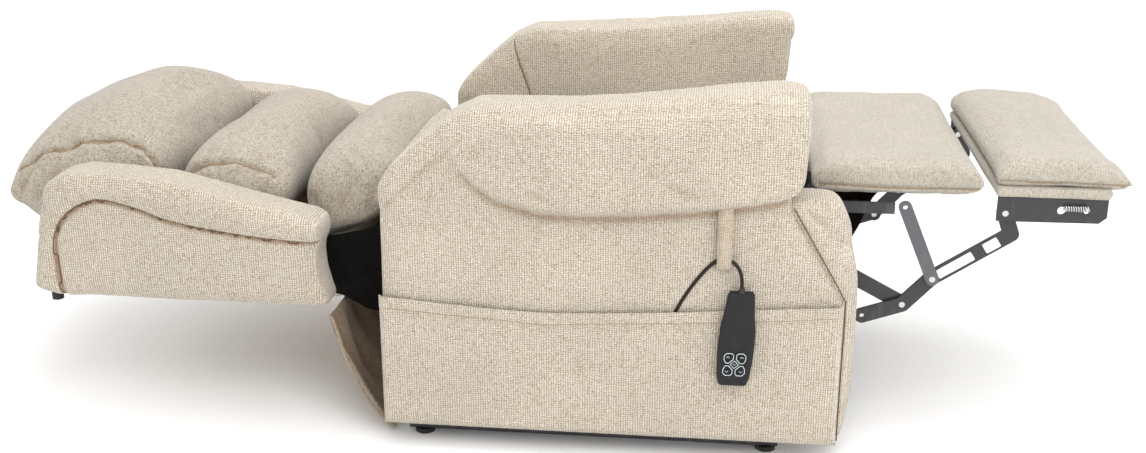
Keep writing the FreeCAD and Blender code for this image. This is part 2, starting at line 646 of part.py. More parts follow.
def make_handset():
    """The handset hangs from its cord, leaning a little, with its buttons facing -Y."""
    y, top, low, half, thick = S.handset_y, S.handset_top, S.handset_low, S.handset_half, S.handset_thick

    def lean(offset, level):
        return (S.handset_x + offset - (top - level) * S.handset_lean, level)

    right = [(18, top), (half - 8, top - 5), (half - 5, top - 34), (half - 1, top - 62),
             (half, top - 86), (half, low + 50), (half - 3, low + 14), (half - 6, low + 3),
             (half - 10, low)]
    outline = [lean(offset, level) for offset, level in right]
    outline += [lean(-Size.of(offset), level) for offset, level in reversed(right)]
    rear, face = (y + thick / 2 - 0.1).value, (y - thick / 2 + 0.1).value
    back = plate(outline, y + thick / 2, thick / 2)
    node("handset_back", soften(back, 4, near=lambda p: p.y > rear))
    front = soften(plate(outline, y, thick / 2), 4, near=lambda p: p.y < face)
    outer = y - thick / 2

    def key(offsets, start, length):
        return plate([lean(dx, KEY_LEVEL + dz) for dx, dz in offsets], outer + start + length, length)

    def keys(grow, start, length):
        corners = [(-1, 1), (1, 1), (-1, -1), (1, -1)]
        shapes = [key_outline(side, rise, grow) for side, rise in corners] + [centre_outline(grow)]
        return [key(shape, start, length) for shape in shapes]

    node("handset_front", cut(front, *keys(KEY_CLEARANCE, -1, WELL_DEPTH)))
    for number, button in enumerate(keys(0, -KEY_PROUD, KEY_LENGTH), start=1):
        node("handset_button_%d" % number, soften(button, 0.6, near=lambda p: p.y < face - 1))
    relief = doc.addObject("Part::Cone", "Relief")
    relief.Radius1, relief.Radius2 = 6.5, 3.1
    bind(relief, "Height", S.relief_height)
    place(relief, S.handset_x, y, top)
    node("cord_strain_relief", relief)


def make_controller():
    """The control box under the seat, with its supply socket in the rear face."""
    controller = box((60, 170), (110, 230), (288, 330))
    socket = box((55, 66), (150, 170), (300, 316))
    node("power_control_box", cut(soften(controller, 4), socket))


# ---- the whole chair -----------------------------------------------------------------

make_base()
make_lift_arms()
make_seat()
make_mechanism_brackets()
make_arms()
make_rear_flap()
make_back()
make_leg_rest()
make_actuator("lift", (S.motor_x, S.motor_z), (S.lift_tube_x, S.lift_tube_z), 0, 4.5, 10)
make_actuator("back", BACK_MOTOR, (S.back_drive_x, S.back_drive_z), 100, 9, 8)
make_actuator("leg", LEG_MOTOR, (S.crank_x, S.crank_z), -100, 13, 8, retract=70)
make_pocket()
make_handset()
make_cord()
make_controller()

doc.recompute()
for thing in doc.Objects:
    if "Invalid" in thing.State or "Error" in thing.State:
        raise SystemExit("failed: %s %s" % (thing.Name, thing.Label))
for thing in nodes:
    if thing.Shape.isNull() or not thing.Shape.isValid():
        raise SystemExit("bad shape: " + thing.Label)
for thing in nodes:
    thing.Shape.exportStep("parts/%s.step" % thing.Label)
print("sub-parts:", len(nodes))
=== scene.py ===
"""Looks of a lift recliner chair, laid flat with its leg rest out. Metres, +X to the foot end, +Z up."""
import math

import bpy
import numpy as np
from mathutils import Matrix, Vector
from mathutils.bvhtree import BVHTree


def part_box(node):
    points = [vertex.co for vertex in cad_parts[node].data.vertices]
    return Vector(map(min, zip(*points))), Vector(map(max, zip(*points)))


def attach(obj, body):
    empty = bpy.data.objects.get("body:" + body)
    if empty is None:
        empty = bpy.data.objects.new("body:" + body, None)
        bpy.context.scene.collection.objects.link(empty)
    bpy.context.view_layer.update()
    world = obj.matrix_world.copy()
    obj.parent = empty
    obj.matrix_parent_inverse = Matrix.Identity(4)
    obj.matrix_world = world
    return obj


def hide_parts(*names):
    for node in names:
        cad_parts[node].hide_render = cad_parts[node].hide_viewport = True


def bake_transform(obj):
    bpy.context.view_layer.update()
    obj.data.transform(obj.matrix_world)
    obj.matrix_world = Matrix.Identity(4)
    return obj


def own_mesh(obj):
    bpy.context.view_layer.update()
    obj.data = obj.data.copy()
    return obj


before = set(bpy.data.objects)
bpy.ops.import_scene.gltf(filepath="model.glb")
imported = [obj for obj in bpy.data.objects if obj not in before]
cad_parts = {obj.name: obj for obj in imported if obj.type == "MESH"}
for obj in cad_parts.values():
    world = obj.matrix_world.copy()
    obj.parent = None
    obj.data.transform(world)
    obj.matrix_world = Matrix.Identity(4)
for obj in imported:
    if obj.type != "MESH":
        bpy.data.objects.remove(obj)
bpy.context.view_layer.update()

RIGHT, LEFT = -1, 1


# ---- camera and stage ----------------------------------------------------------------


CAMERA_PLACE, CAMERA_TURN = (0.3078, -2.4223, 1.1041), (71.16, 0, 6.48)
LENS, SENSOR = 42.57, 36


def make_camera():
    data = bpy.data.cameras.new("view")
    data.sensor_width = SENSOR
    data.lens = LENS
    camera = bpy.data.objects.new("view", data)
    camera.location = CAMERA_PLACE
    camera.rotation_euler = [math.radians(turn) for turn in CAMERA_TURN]
    bpy.context.scene.collection.objects.link(camera)
    bpy.context.scene.camera = camera


def make_light(name, kind, place, target, power):
    """A light at its place, turned to a target."""
    data = bpy.data.lights.new(name, kind)
    data.energy = power
    light = bpy.data.objects.new(name, data)
    light.location = place
    aim = Vector(target) - Vector(place)
    light.rotation_euler = aim.to_track_quat("-Z", "Y").to_euler()
    bpy.context.scene.collection.objects.link(light)
    return data


def area_light(name, place, target, size, power):
    data = make_light(name, "AREA", place, target, power)
    data.shape = "RECTANGLE"
    data.size, data.size_y = size


def make_studio():
    deselect()
    bpy.ops.mesh.primitive_plane_add(size=40, location=(0, 0, 0))
    floor = bpy.context.object
    floor.name = "studio_floor"
    material, shader = new_material("studio_white")
    shader.inputs["Base Color"].default_value = (0.97, 0.97, 0.97, 1)
    shader.inputs["Roughness"].default_value = 0.9
    floor.data.materials.append(material)

    world = bpy.data.worlds.new("studio")
    world.use_nodes = True
    sky = world.node_tree.nodes["Background"]
    sky.inputs["Color"].default_value = (1, 1, 1, 1)
    sky.inputs["Strength"].default_value = 1.05
    scene = bpy.context.scene
    scene.world = world
    scene.view_settings.view_transform = "Standard"
    area_light("key", (0.9, -2.5, 3.0), (0.1, 0, 0.3), (2.4, 1.6), 50)
    area_light("overhead", (0.3, 0.1, 3.2), (0.1, 0, 0.3), (3.2, 2.0), 46)
    area_light("front_fill", (2.2, -2.8, 1.4), (0.2, 0, 0.3), (2.0, 1.6), 16)
    spot = make_light("inner_arm_fill", "SPOT", (0.25, -1.3, 2.2), (0.2, 0.29, 0.54), 45)
    spot.spot_size = math.radians(17)
    spot.spot_blend = 1.0
    spot.shadow_soft_size = 0.4


# ---- mesh tools ----------------------------------------------------------------------


def deselect():
    active = bpy.context.view_layer.objects.active
    if active is not None and active.mode != "OBJECT":
        bpy.ops.object.mode_set(mode="OBJECT")
    bpy.ops.object.select_all(action="DESELECT")


def choose(*objects):
    deselect()
    for obj in objects:
        obj.select_set(True)
    bpy.context.view_layer.objects.active = objects[0]
    return objects[0]


def apply_modifier(obj, kind, **settings):
    choose(obj)
    modifier = obj.modifiers.new(kind.title(), kind)
    for key, value in settings.items():
        setattr(modifier, key, value)
    bpy.ops.object.modifier_apply(modifier=modifier.name)
    return obj


def points_of(obj):
    flat = np.empty(len(obj.data.vertices) * 3)
    obj.data.vertices.foreach_get("co", flat)
    return flat.reshape(-1, 3)


def normals_of(obj):
    flat = np.empty(len(obj.data.vertices) * 3)
    obj.data.vertex_normals.foreach_get("vector", flat)
    return flat.reshape(-1, 3)


def set_points(obj, points):
    obj.data.vertices.foreach_set("co", np.asarray(points, float).ravel())
    obj.data.update()


def sculpt(obj, effect):
    """Moves each vertex by what effect(points, normals) gives."""
    points = points_of(obj)
    set_points(obj, points + effect(points, normals_of(obj)))
    return obj


def repair(obj):
    """Closes the mesh and turns its faces outwards."""
    choose(obj)
    bpy.ops.object.mode_set(mode="EDIT")
    bpy.ops.mesh.select_all(action="SELECT")
    bpy.ops.mesh.remove_doubles(threshold=0.00001)
    bpy.ops.mesh.fill_holes(sides=0)
    bpy.ops.mesh.select_all(action="SELECT")
    bpy.ops.mesh.normals_make_consistent(inside=False)
    bpy.ops.object.mode_set(mode="OBJECT")
    return obj


def smooth_shading(obj):
    choose(obj)
    bpy.ops.object.shade_smooth()
    return obj


def through(points, count, closed=False):
    """A smooth curve through a few points, as count places along it."""
    points = np.asarray(points, float)
    total = len(points)
    spans = total if closed else total - 1
    places = []
    for step in range(count):
        at = step * spans / (count if closed else count - 1)
        index = min(int(at), spans - 1)
        f = at - index
        if closed:
            a, b, c, d = (points[(index + k) % total] for k in (-1, 0, 1, 2))
        else:
            a, b, c, d = (points[min(max(index + k, 0), total - 1)] for k in (-1, 0, 1, 2))
        places.append(0.5 * (2 * b + (c - a) * f + (2 * a - 5 * b + 4 * c - d) * f ** 2
                             + (3 * b - a - 3 * c + d) * f ** 3))
    return np.array(places)


def drawn_solid(name, outline, near, far):
    """A solid drawn point by point in the XZ plane and extruded along Y."""
    deselect()
    bpy.ops.mesh.primitive_plane_add(size=0.01)
    obj = bpy.context.object
    obj.name = name
    bpy.ops.object.mode_set(mode="EDIT")
    bpy.ops.mesh.select_all(action="SELECT")
    bpy.ops.mesh.merge(type="CENTER")
    bpy.ops.transform.translate(value=(outline[0][0], near, outline[0][1]))
    for (ax, az), (bx, bz) in zip(outline, outline[1:]):
        bpy.ops.mesh.extrude_region_move(TRANSFORM_OT_translate={"value": (bx - ax, 0, bz - az)})
    bpy.ops.mesh.select_all(action="SELECT")
    bpy.ops.mesh.edge_face_add()
    bpy.ops.mesh.extrude_region_move(TRANSFORM_OT_translate={"value": (0, far - near, 0)})
    bpy.ops.mesh.select_all(action="SELECT")
    bpy.ops.mesh.normals_make_consistent(inside=False)
    bpy.ops.object.mode_set(mode="OBJECT")
    return obj


def joined(name, *objects):
    choose(*objects)
    bpy.ops.object.join()
    objects[0].name = name
    return objects[0]


def mirrored(obj, name):
    """The same piece for the other side, with its own mesh."""
    choose(obj)
    bpy.ops.object.duplicate()
    copy = bpy.context.object
    copy.name = name
    points = points_of(copy)
    points[:, 1] *= -1
    set_points(copy, points)
    bpy.ops.object.mode_set(mode="EDIT")
    bpy.ops.mesh.select_all(action="SELECT")
    bpy.ops.mesh.flip_normals()
    bpy.ops.object.mode_set(mode="OBJECT")
    return copy


# ---- upholstery tools ----------------------------------------------------------------


def even_skin(obj, voxel, rounds=4):
    """An even net of small faces over the shape, its corners eased."""
    apply_modifier(obj, "REMESH", mode="VOXEL", voxel_size=voxel, adaptivity=0)
    return apply_modifier(obj, "SMOOTH", factor=0.5, iterations=rounds)


CLOTH_STEPS = 20


def stuff(obj, pressure=4.0, cap=0.012):
    """Blows the skin out like a stuffed cover, by no more than the cap."""
    choose(obj)
    before = points_of(obj)
    cloth = obj.modifiers.new("Cover", "CLOTH")
    settings = cloth.settings
    settings.quality = 4
    settings.mass = 0.25
    settings.tension_stiffness = 12
    settings.compression_stiffness = 12
    settings.bending_stiffness = 0.4
    settings.use_pressure = True
    settings.uniform_pressure_force = pressure
    settings.effector_weights.gravity = 0
    cloth.point_cache.frame_end = CLOTH_STEPS
    for number in range(1, CLOTH_STEPS + 1):
        bpy.context.scene.frame_set(number)
    bpy.ops.object.modifier_apply(modifier=cloth.name)
    bpy.context.scene.frame_set(1)
    move = points_of(obj) - before
    reach = np.linalg.norm(move, axis=1, keepdims=True)
    set_points(obj, before + move * np.minimum(1, cap / np.maximum(reach, 1e-9)))
    return obj


def refine(obj, levels=1):
    return smooth_shading(apply_modifier(obj, "SUBSURF", levels=levels, render_levels=levels))


def ease(value, low, high):
    """0 below low, 1 above high, smooth between."""
    t = np.clip((value - low) / (high - low), 0, 1)
    return t * t * (3 - 2 * t)


def distance_to(points, path):
    """How far each point is from a path of places."""
    best = np.full(len(points), np.inf)
    for a, b in zip(path, path[1:]):
        along = b - a
        share = np.clip((points - a) @ along / max(along @ along, 1e-12), 0, 1)
        best = np.minimum(best, np.linalg.norm(points - a - share[:, None] * along, axis=1))
    return best


def groove(obj, path, depth=0.004, width=0.006):
    """Pulls the cover in along a line of stitching."""
    path = np.asarray(path, float)
    return sculpt(obj, lambda points, normals:
                  -normals * (depth * np.exp(-(distance_to(points, path) / width) ** 2))[:, None])


def fold(points, normals, a, b, depth, width):
    """A crease from a to b that is deepest at its middle."""
    a, b = np.asarray(a, float), np.asarray(b, float)
    along = b - a
    share = (points - a) @ along / (along @ along)
    away = np.linalg.norm(points - a - np.clip(share, 0, 1)[:, None] * along, axis=1)
    middle = np.clip(1 - (2 * share - 1) ** 2, 0, 1)
    return -normals * (depth * middle * np.exp(-(away / width) ** 2))[:, None]


def on_surface(obj, path, lift=0.0):
    """The path laid on the nearest places of a piece."""
    mesh = obj.data
    tree = BVHTree.FromPolygons([v.co for v in mesh.vertices], [p.vertices for p in mesh.polygons])
    places = []
    for point in path:
        spot, normal, _, _ = tree.find_nearest(Vector(point))
        places.append(spot + normal * lift)
    return np.array([list(p) for p in places])


def tube(name, path, radius, sides=6):
    """A thin round strand along a path, as a closed mesh."""
    data = bpy.data.curves.new(name, "CURVE")
    data.dimensions = "3D"
    data.bevel_depth = radius
    data.bevel_resolution = max(0, sides // 2 - 2)
    data.use_fill_caps = True
    spline = data.splines.new("POLY")
    spline.points.add(len(path) - 1)
    for point, place in zip(spline.points, path):
        point.co = (*place, 1)
    obj = bpy.data.objects.new(name, data)
    bpy.context.scene.collection.objects.link(obj)
    choose(obj)
    bpy.ops.object.convert(target="MESH")
    return smooth_shading(bpy.context.object)


def looking_out(obj, origins, directions):
    """Places on the skin of a piece, as seen from inside it."""
    mesh = obj.data
    tree = BVHTree.FromPolygons([v.co for v in mesh.vertices], [p.vertices for p in mesh.polygons])
    places = [tree.ray_cast(Vector(origin), Vector(direction))[0]
              for origin, direction in zip(origins, directions)]
    return np.array([list(place) for place in places if place is not None])


def ring_on(obj, centre, start, stop, count=70):
    """A line round a cushion in the XZ plane, from one angle to another in degrees."""
    angles = np.radians(np.linspace(start, stop, count))
    return looking_out(obj, [centre] * count, [(math.cos(a), 0, math.sin(a)) for a in angles])


def side_line(obj, sign, places, inside=0.24, count=80):
    """A smooth line along the side of a piece, through places given as X and Z."""
    path = through([(x, 0, z) for x, z in places], count)
    return looking_out(obj, [(x, inside * sign, z) for x, _, z in path], [(0, sign, 0)] * count)


def evened(path, rounds=12):
    """The same line with its small wobbles taken out."""
    path = np.array(path)
    for _ in range(rounds):
        path[1:-1] = path[1:-1] * 0.5 + (path[:-2] + path[2:]) * 0.25
    return path


def crown_ends(obj, middle, base, begin, end, drop, tuck=0.0):
    """Lets the top of a cushion fall away, and its section draw in, towards its two ends."""
    def effect(points, normals):
        t = np.clip((np.abs(points[:, 1]) - begin) / (end - begin), 0, 1)
        rise = np.maximum(points[:, 2] - base, 0)
        late = np.clip((np.abs(points[:, 1]) - end + 0.075) / 0.075, 0, 1) ** 3
        inward = (middle - points[:, 0]) * tuck * late
        return np.column_stack((inward, np.zeros(len(points)),
                                -rise * (drop * t ** 2 + tuck * late)))

    return sculpt(obj, effect)


def stitched_seam(name, obj, path, body, material, radius=0.0011, depth=0.0035, width=0.0055):
    """A pulled-in line with its dark thread lying in it."""
    path = on_surface(obj, path)
    groove(obj, path, depth, width)
    thread = tube(name, on_surface(obj, path, lift=0.0002), radius)
    dress(thread, material, body)
    return thread


def store_fold_shade_mask(obj, rounds=6, gain=60):
    """Stores how hollow the cover is at each point, as the mask for the painted shade, a warmer, darker
    tone, inside its folds.
    """
    points, normals = points_of(obj), normals_of(obj)
    edges = np.empty(len(obj.data.edges) * 2, int)
    obj.data.edges.foreach_get("vertices", edges)
    edges = edges.reshape(-1, 2)
    count = np.bincount(edges.ravel(), minlength=len(points)).astype(float)

    def spread(values):
        total = np.zeros_like(values)
        np.add.at(total, edges[:, 0], values[edges[:, 1]])
        np.add.at(total, edges[:, 1], values[edges[:, 0]])
        return total / count.reshape(-1, *([1] * (values.ndim - 1)))

    wide = points
    for _ in range(rounds):
        wide = spread(wide)
    hollow = np.einsum("ij,ij->i", wide - points, normals)
    hollow = spread(spread(hollow)) * gain * 10
    # The crease attribute is the mask for the painted shade in the folds.
    attribute = obj.data.attributes.get("crease") or obj.data.attributes.new("crease", "FLOAT", "POINT")
    attribute.data.foreach_set("value", np.clip(hollow, 0, 1).astype(np.float32))
    return obj


def dress(obj, material, body=None, stands_for=()):
    """Gives a piece its material and body, and hides the plain nodes that it stands for."""
    obj.data.materials.clear()
    obj.data.materials.append(material)
    if body:
        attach(obj, body)
    if stands_for:
        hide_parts(*stands_for)
    return obj


# ---- materials -----------------------------------------------------------------------


def new_material(name):
    material = bpy.data.materials.new(name)
    material.use_nodes = True
    return material, material.node_tree.nodes["Principled BSDF"]


class Wiring:
    """Short names for adding and joining nodes in one tree."""

    def __init__(self, tree):
        self.tree = tree

    def add(self, kind, **settings):
        made = self.tree.nodes.new(kind)
        for key, value in settings.items():
            setattr(made, key, value)
        return made

    def link(self, source, target):
        self.tree.links.new(source, target)

    def feed(self, target, value):
        if isinstance(value, bpy.types.NodeSocket):
            self.link(value, target)
        else:
            target.default_value = value

    def maths(self, operation, *values, clamp=False):
        made = self.add("ShaderNodeMath", operation=operation, use_clamp=clamp)
        for socket, value in zip(made.inputs, values):
            self.feed(socket, value)
        return made.outputs[0]

    def mix(self, factor, first, second, blend="MIX"):
        made = self.add("ShaderNodeMix", data_type="RGBA", blend_type=blend)
        for socket, value in zip((made.inputs[0], made.inputs[6], made.inputs[7]), (factor, first, second)):
            self.feed(socket, value)
        return made.outputs[2]

    def noise(self, vector, scale, detail=2.0, roughness=0.5):
        made = self.add("ShaderNodeTexNoise")
        self.link(vector, made.inputs["Vector"])
        made.inputs["Scale"].default_value = scale
        made.inputs["Detail"].default_value = detail
        made.inputs["Roughness"].default_value = roughness
        return made.outputs["Fac"]

    def span(self, value, low, high, to_low=0.0, to_high=1.0):
        made = self.add("ShaderNodeMapRange", interpolation_type="SMOOTHSTEP")
        for socket, given in zip(made.inputs, (value, low, high, to_low, to_high)):
            self.feed(socket, given)
        return made.outputs[0]

    def scaled(self, vector, x, y, z):
        made = self.add("ShaderNodeMapping")
        self.link(vector, made.inputs["Vector"])
        made.inputs["Scale"].default_value = (x, y, z)
        return made.outputs["Vector"]


def new_group(name, inputs, outputs):
    """A node group with its named inputs (kind, value) and outputs, and its two ends."""
    tree = bpy.data.node_groups.new(name, "ShaderNodeTree")
    for label, (kind, value) in inputs.items():
        socket = tree.interface.new_socket(name=label, in_out="INPUT", socket_type=kind)
        if value is not None:
            socket.default_value = value
    for label, kind in outputs.items():
        tree.interface.new_socket(name=label, in_out="OUTPUT", socket_type=kind)
    wires = Wiring(tree)
    return wires, wires.add("NodeGroupInput"), wires.add("NodeGroupOutput")


FLOAT, COLOUR = "NodeSocketFloat", "NodeSocketColor"


def make_weave_group():
    """Chunky upholstery yarn: ribs with beads along them, slubs and flecks of other tones."""
    wires, start, end = new_group(
        "chunky_weave",
        {"Light": (COLOUR, (0.7, 0.6, 0.45, 1)), "Middle": (COLOUR, (0.6, 0.5, 0.35, 1)),
         "Dark": (COLOUR, (0.4, 0.3, 0.2, 1)), "Rib": (FLOAT, 0.0040), "Bead": (FLOAT, 0.0036),
         "Ribbing": (FLOAT, 1.0), "Fleck": (FLOAT, 1.0), "Net": (FLOAT, 0.85)},
        {"Colour": COLOUR, "Height": FLOAT, "Roughness": FLOAT})
    place = wires.add("ShaderNodeTexCoord").outputs["Object"]
    normal = wires.add("ShaderNodeNewGeometry").outputs["Normal"]
    turn = wires.add("ShaderNodeVectorMath", operation="ABSOLUTE")
    wires.link(normal, turn.inputs[0])
    facing = wires.add("ShaderNodeSeparateXYZ")
    wires.link(turn.outputs[0], facing.inputs[0])
    where = wires.add("ShaderNodeSeparateXYZ")
    wires.link(place, where.inputs[0])
    x, y, z = where.outputs
    end_on = wires.span(facing.outputs[0], 0.62, 0.78)
    upward = wires.span(facing.outputs[2], 0.62, 0.78)
    wander = wires.noise(place, 110, 2)

    def wave(coordinate, period, waver):
        turns = wires.maths("DIVIDE", coordinate, period)
        shifted = wires.maths("ADD", turns, wires.maths("MULTIPLY", wander, waver))
        return wires.maths("MULTIPLY_ADD", wires.maths("SINE", wires.maths("MULTIPLY", shifted, math.tau)),
                           0.5, 0.5)

    def blended(low, high, weight):
        gap = wires.maths("SUBTRACT", high, low)
        return wires.maths("MULTIPLY_ADD", gap, weight, low)

    rib = blended(wave(x, start.outputs["Rib"], 0.8), wave(y, start.outputs["Rib"], 0.8), end_on)
    bead = blended(wave(z, start.outputs["Bead"], 2.4), wave(y, start.outputs["Bead"], 2.4), upward)
    fine = wires.noise(place, 620, 2, 0.6)
    beads = wires.add("ShaderNodeTexVoronoi")
    wires.link(wires.scaled(place, 1, 1, 0.8), beads.inputs["Vector"])
    beads.inputs["Scale"].default_value = 360
    beads.inputs["Randomness"].default_value = 0.8
    tones = wires.add("ShaderNodeSeparateXYZ")
    wires.link(beads.outputs["Color"], tones.inputs[0])
    fleck, slub = tones.outputs[0], tones.outputs[1]
    patch = wires.noise(place, 9, 3)
    yarn = wires.maths("MULTIPLY", rib, start.outputs["Ribbing"])
    height = wires.maths("ADD", wires.maths("MULTIPLY", yarn, 0.45), wires.maths("MULTIPLY", bead, 0.3))
    height = wires.maths("ADD", height, wires.maths("MULTIPLY", fine, 0.5))
    height = wires.maths("ADD", height, wires.maths("MULTIPLY", beads.outputs["Distance"], -0.7))
    lights = wires.span(fleck, 0.35, 1.0)
    darks = wires.maths("MULTIPLY", wires.span(fleck, 0.45, 0.02), wires.span(slub, 0.9, 0.2))
    lights = wires.maths("MULTIPLY", lights, start.outputs["Fleck"])
    darks = wires.maths("MULTIPLY", darks, start.outputs["Fleck"], clamp=True)
    gaps = wires.maths("MAXIMUM", wires.span(yarn, 0.42, 0.02), wires.span(bead, 0.26, 0.02))
    colour = wires.mix(lights, start.outputs["Middle"], start.outputs["Light"])
    colour = wires.mix(darks, colour, start.outputs["Dark"])
    colour = wires.mix(wires.maths("MULTIPLY", gaps, start.outputs["Net"]), colour, start.outputs["Dark"])
    worn = wires.span(patch, 0.35, 0.7, 0.97, 1.03)
    tint = wires.add("ShaderNodeCombineXYZ")
    for socket in tint.inputs:
        wires.link(worn, socket)
    colour = wires.mix(1.0, colour, tint.outputs[0], "MULTIPLY")
    wires.link(colour, end.inputs["Colour"])
    wires.link(height, end.inputs["Height"])
    wires.link(wires.span(fine, 0.3, 0.7, 0.86, 0.98), end.inputs["Roughness"])
    return wires.tree


def woven(name, light, middle, dark, ribbing=1.0, fleck=0.5, rib=0.0040, net=0.85, relief=0.0016,
          crease=0.75, sheen=0.25):
    """An upholstery cloth, with painted shade, a warmer, darker tone, in its folds."""
    material, shader = new_material(name)
    wires = Wiring(material.node_tree)
    group = wires.add("ShaderNodeGroup")
    group.node_tree = GROUPS["weave"]
    for label, value in (("Light", light), ("Middle", middle), ("Dark", dark)):
        group.inputs[label].default_value = (*value, 1)
    for label, value in (("Ribbing", ribbing), ("Fleck", fleck), ("Rib", rib), ("Net", net)):
        group.inputs[label].default_value = value
    # Painted shade: the colour turns warmer and darker where the cover is hollow, as strongly as crease
    # says.
    hollow = wires.add("ShaderNodeAttribute", attribute_name="crease").outputs["Fac"]
    shade = wires.maths("MULTIPLY", hollow, crease, clamp=True)
    fold_shade_colour = tuple(c * t for c, t in zip(dark, (0.92, 0.74, 0.55)))
    wires.link(wires.mix(shade, group.outputs["Colour"], (*fold_shade_colour, 1)), shader.inputs["Base Color"])
    wires.link(group.outputs["Roughness"], shader.inputs["Roughness"])
    shader.inputs["Sheen Weight"].default_value = sheen
    shader.inputs["Sheen Roughness"].default_value = 0.5
    shader.inputs["Specular IOR Level"].default_value = 0.15
    bump = wires.add("ShaderNodeBump")
    bump.inputs["Strength"].default_value = 0.85
    bump.inputs["Distance"].default_value = relief
    wires.link(group.outputs["Height"], bump.inputs["Height"])
    wires.link(bump.outputs["Normal"], shader.inputs["Normal"])
    return material


def make_grain_group():
    """Fine moulded or painted surface with faint dust and scuffs."""
    wires, start, end = new_group(
        "fine_grain",
        {"Base": (COLOUR, (0.05, 0.05, 0.05, 1)), "Dust": (FLOAT, 0.3), "Scale": (FLOAT, 900.0),
         "Low": (FLOAT, 0.35), "High": (FLOAT, 0.55)},
        {"Colour": COLOUR, "Height": FLOAT, "Roughness": FLOAT})
    place = wires.add("ShaderNodeTexCoord").outputs["Object"]
    grain = wires.add("ShaderNodeTexNoise")
    wires.link(place, grain.inputs["Vector"])
    wires.link(start.outputs["Scale"], grain.inputs["Scale"])
    scuff = wires.noise(wires.scaled(place, 1, 1, 0.3), 40, 4, 0.6)
    dust = wires.maths("MULTIPLY", wires.span(scuff, 0.52, 0.75), start.outputs["Dust"])
    paler = wires.mix(0.35, start.outputs["Base"], (0.45, 0.43, 0.4, 1))
    wires.link(wires.mix(dust, start.outputs["Base"], paler), end.inputs["Colour"])
    wires.link(grain.outputs["Fac"], end.inputs["Height"])
    rough = wires.span(scuff, 0.35, 0.7, 0.0, 1.0)
    gap = wires.maths("SUBTRACT", start.outputs["High"], start.outputs["Low"])
    wires.link(wires.maths("MULTIPLY_ADD", gap, rough, start.outputs["Low"]), end.inputs["Roughness"])
    return wires.tree


def grained(name, base, low, high, dust=0.3, scale=900.0, relief=0.00015, metallic=0.0, strength=0.4,
            specular=0.5):
    """Plastic, rubber or metal with a fine surface grain."""
    material, shader = new_material(name)
    wires = Wiring(material.node_tree)
    group = wires.add("ShaderNodeGroup")
    group.node_tree = GROUPS["grain"]
    group.inputs["Base"].default_value = (*base, 1)
    for label, value in (("Dust", dust), ("Scale", scale), ("Low", low), ("High", high)):
        group.inputs[label].default_value = value
    shader.inputs["Metallic"].default_value = metallic
    shader.inputs["Specular IOR Level"].default_value = specular
    wires.link(group.outputs["Colour"], shader.inputs["Base Color"])
    wires.link(group.outputs["Roughness"], shader.inputs["Roughness"])
    bump = wires.add("ShaderNodeBump")
    bump.inputs["Strength"].default_value = strength
    bump.inputs["Distance"].default_value = relief
    wires.link(group.outputs["Height"], bump.inputs["Height"])
    wires.link(bump.outputs["Normal"], shader.inputs["Normal"])
    return material


def make_wood():
    material, shader = new_material("sawn_hardwood")
    wires = Wiring(material.node_tree)
    place = wires.add("ShaderNodeTexCoord").outputs["Object"]
    grain = wires.noise(wires.scaled(place, 0.08, 1, 1), 160, 4, 0.6)
    rings = wires.noise(wires.scaled(place, 0.15, 1, 1), 28, 2)
    tone = wires.mix(wires.span(rings, 0.35, 0.65), (0.50, 0.34, 0.18, 1), (0.66, 0.49, 0.29, 1))
    tone = wires.mix(wires.span(grain, 0.55, 0.72, 0, 0.5), tone, (0.30, 0.18, 0.09, 1))
    wires.link(tone, shader.inputs["Base Color"])
    wires.link(wires.span(grain, 0.3, 0.7, 0.5, 0.7), shader.inputs["Roughness"])
    bump = wires.add("ShaderNodeBump")
    bump.inputs["Distance"].default_value = 0.0003
    wires.link(grain, bump.inputs["Height"])
    wires.link(bump.outputs["Normal"], shader.inputs["Normal"])
    return material


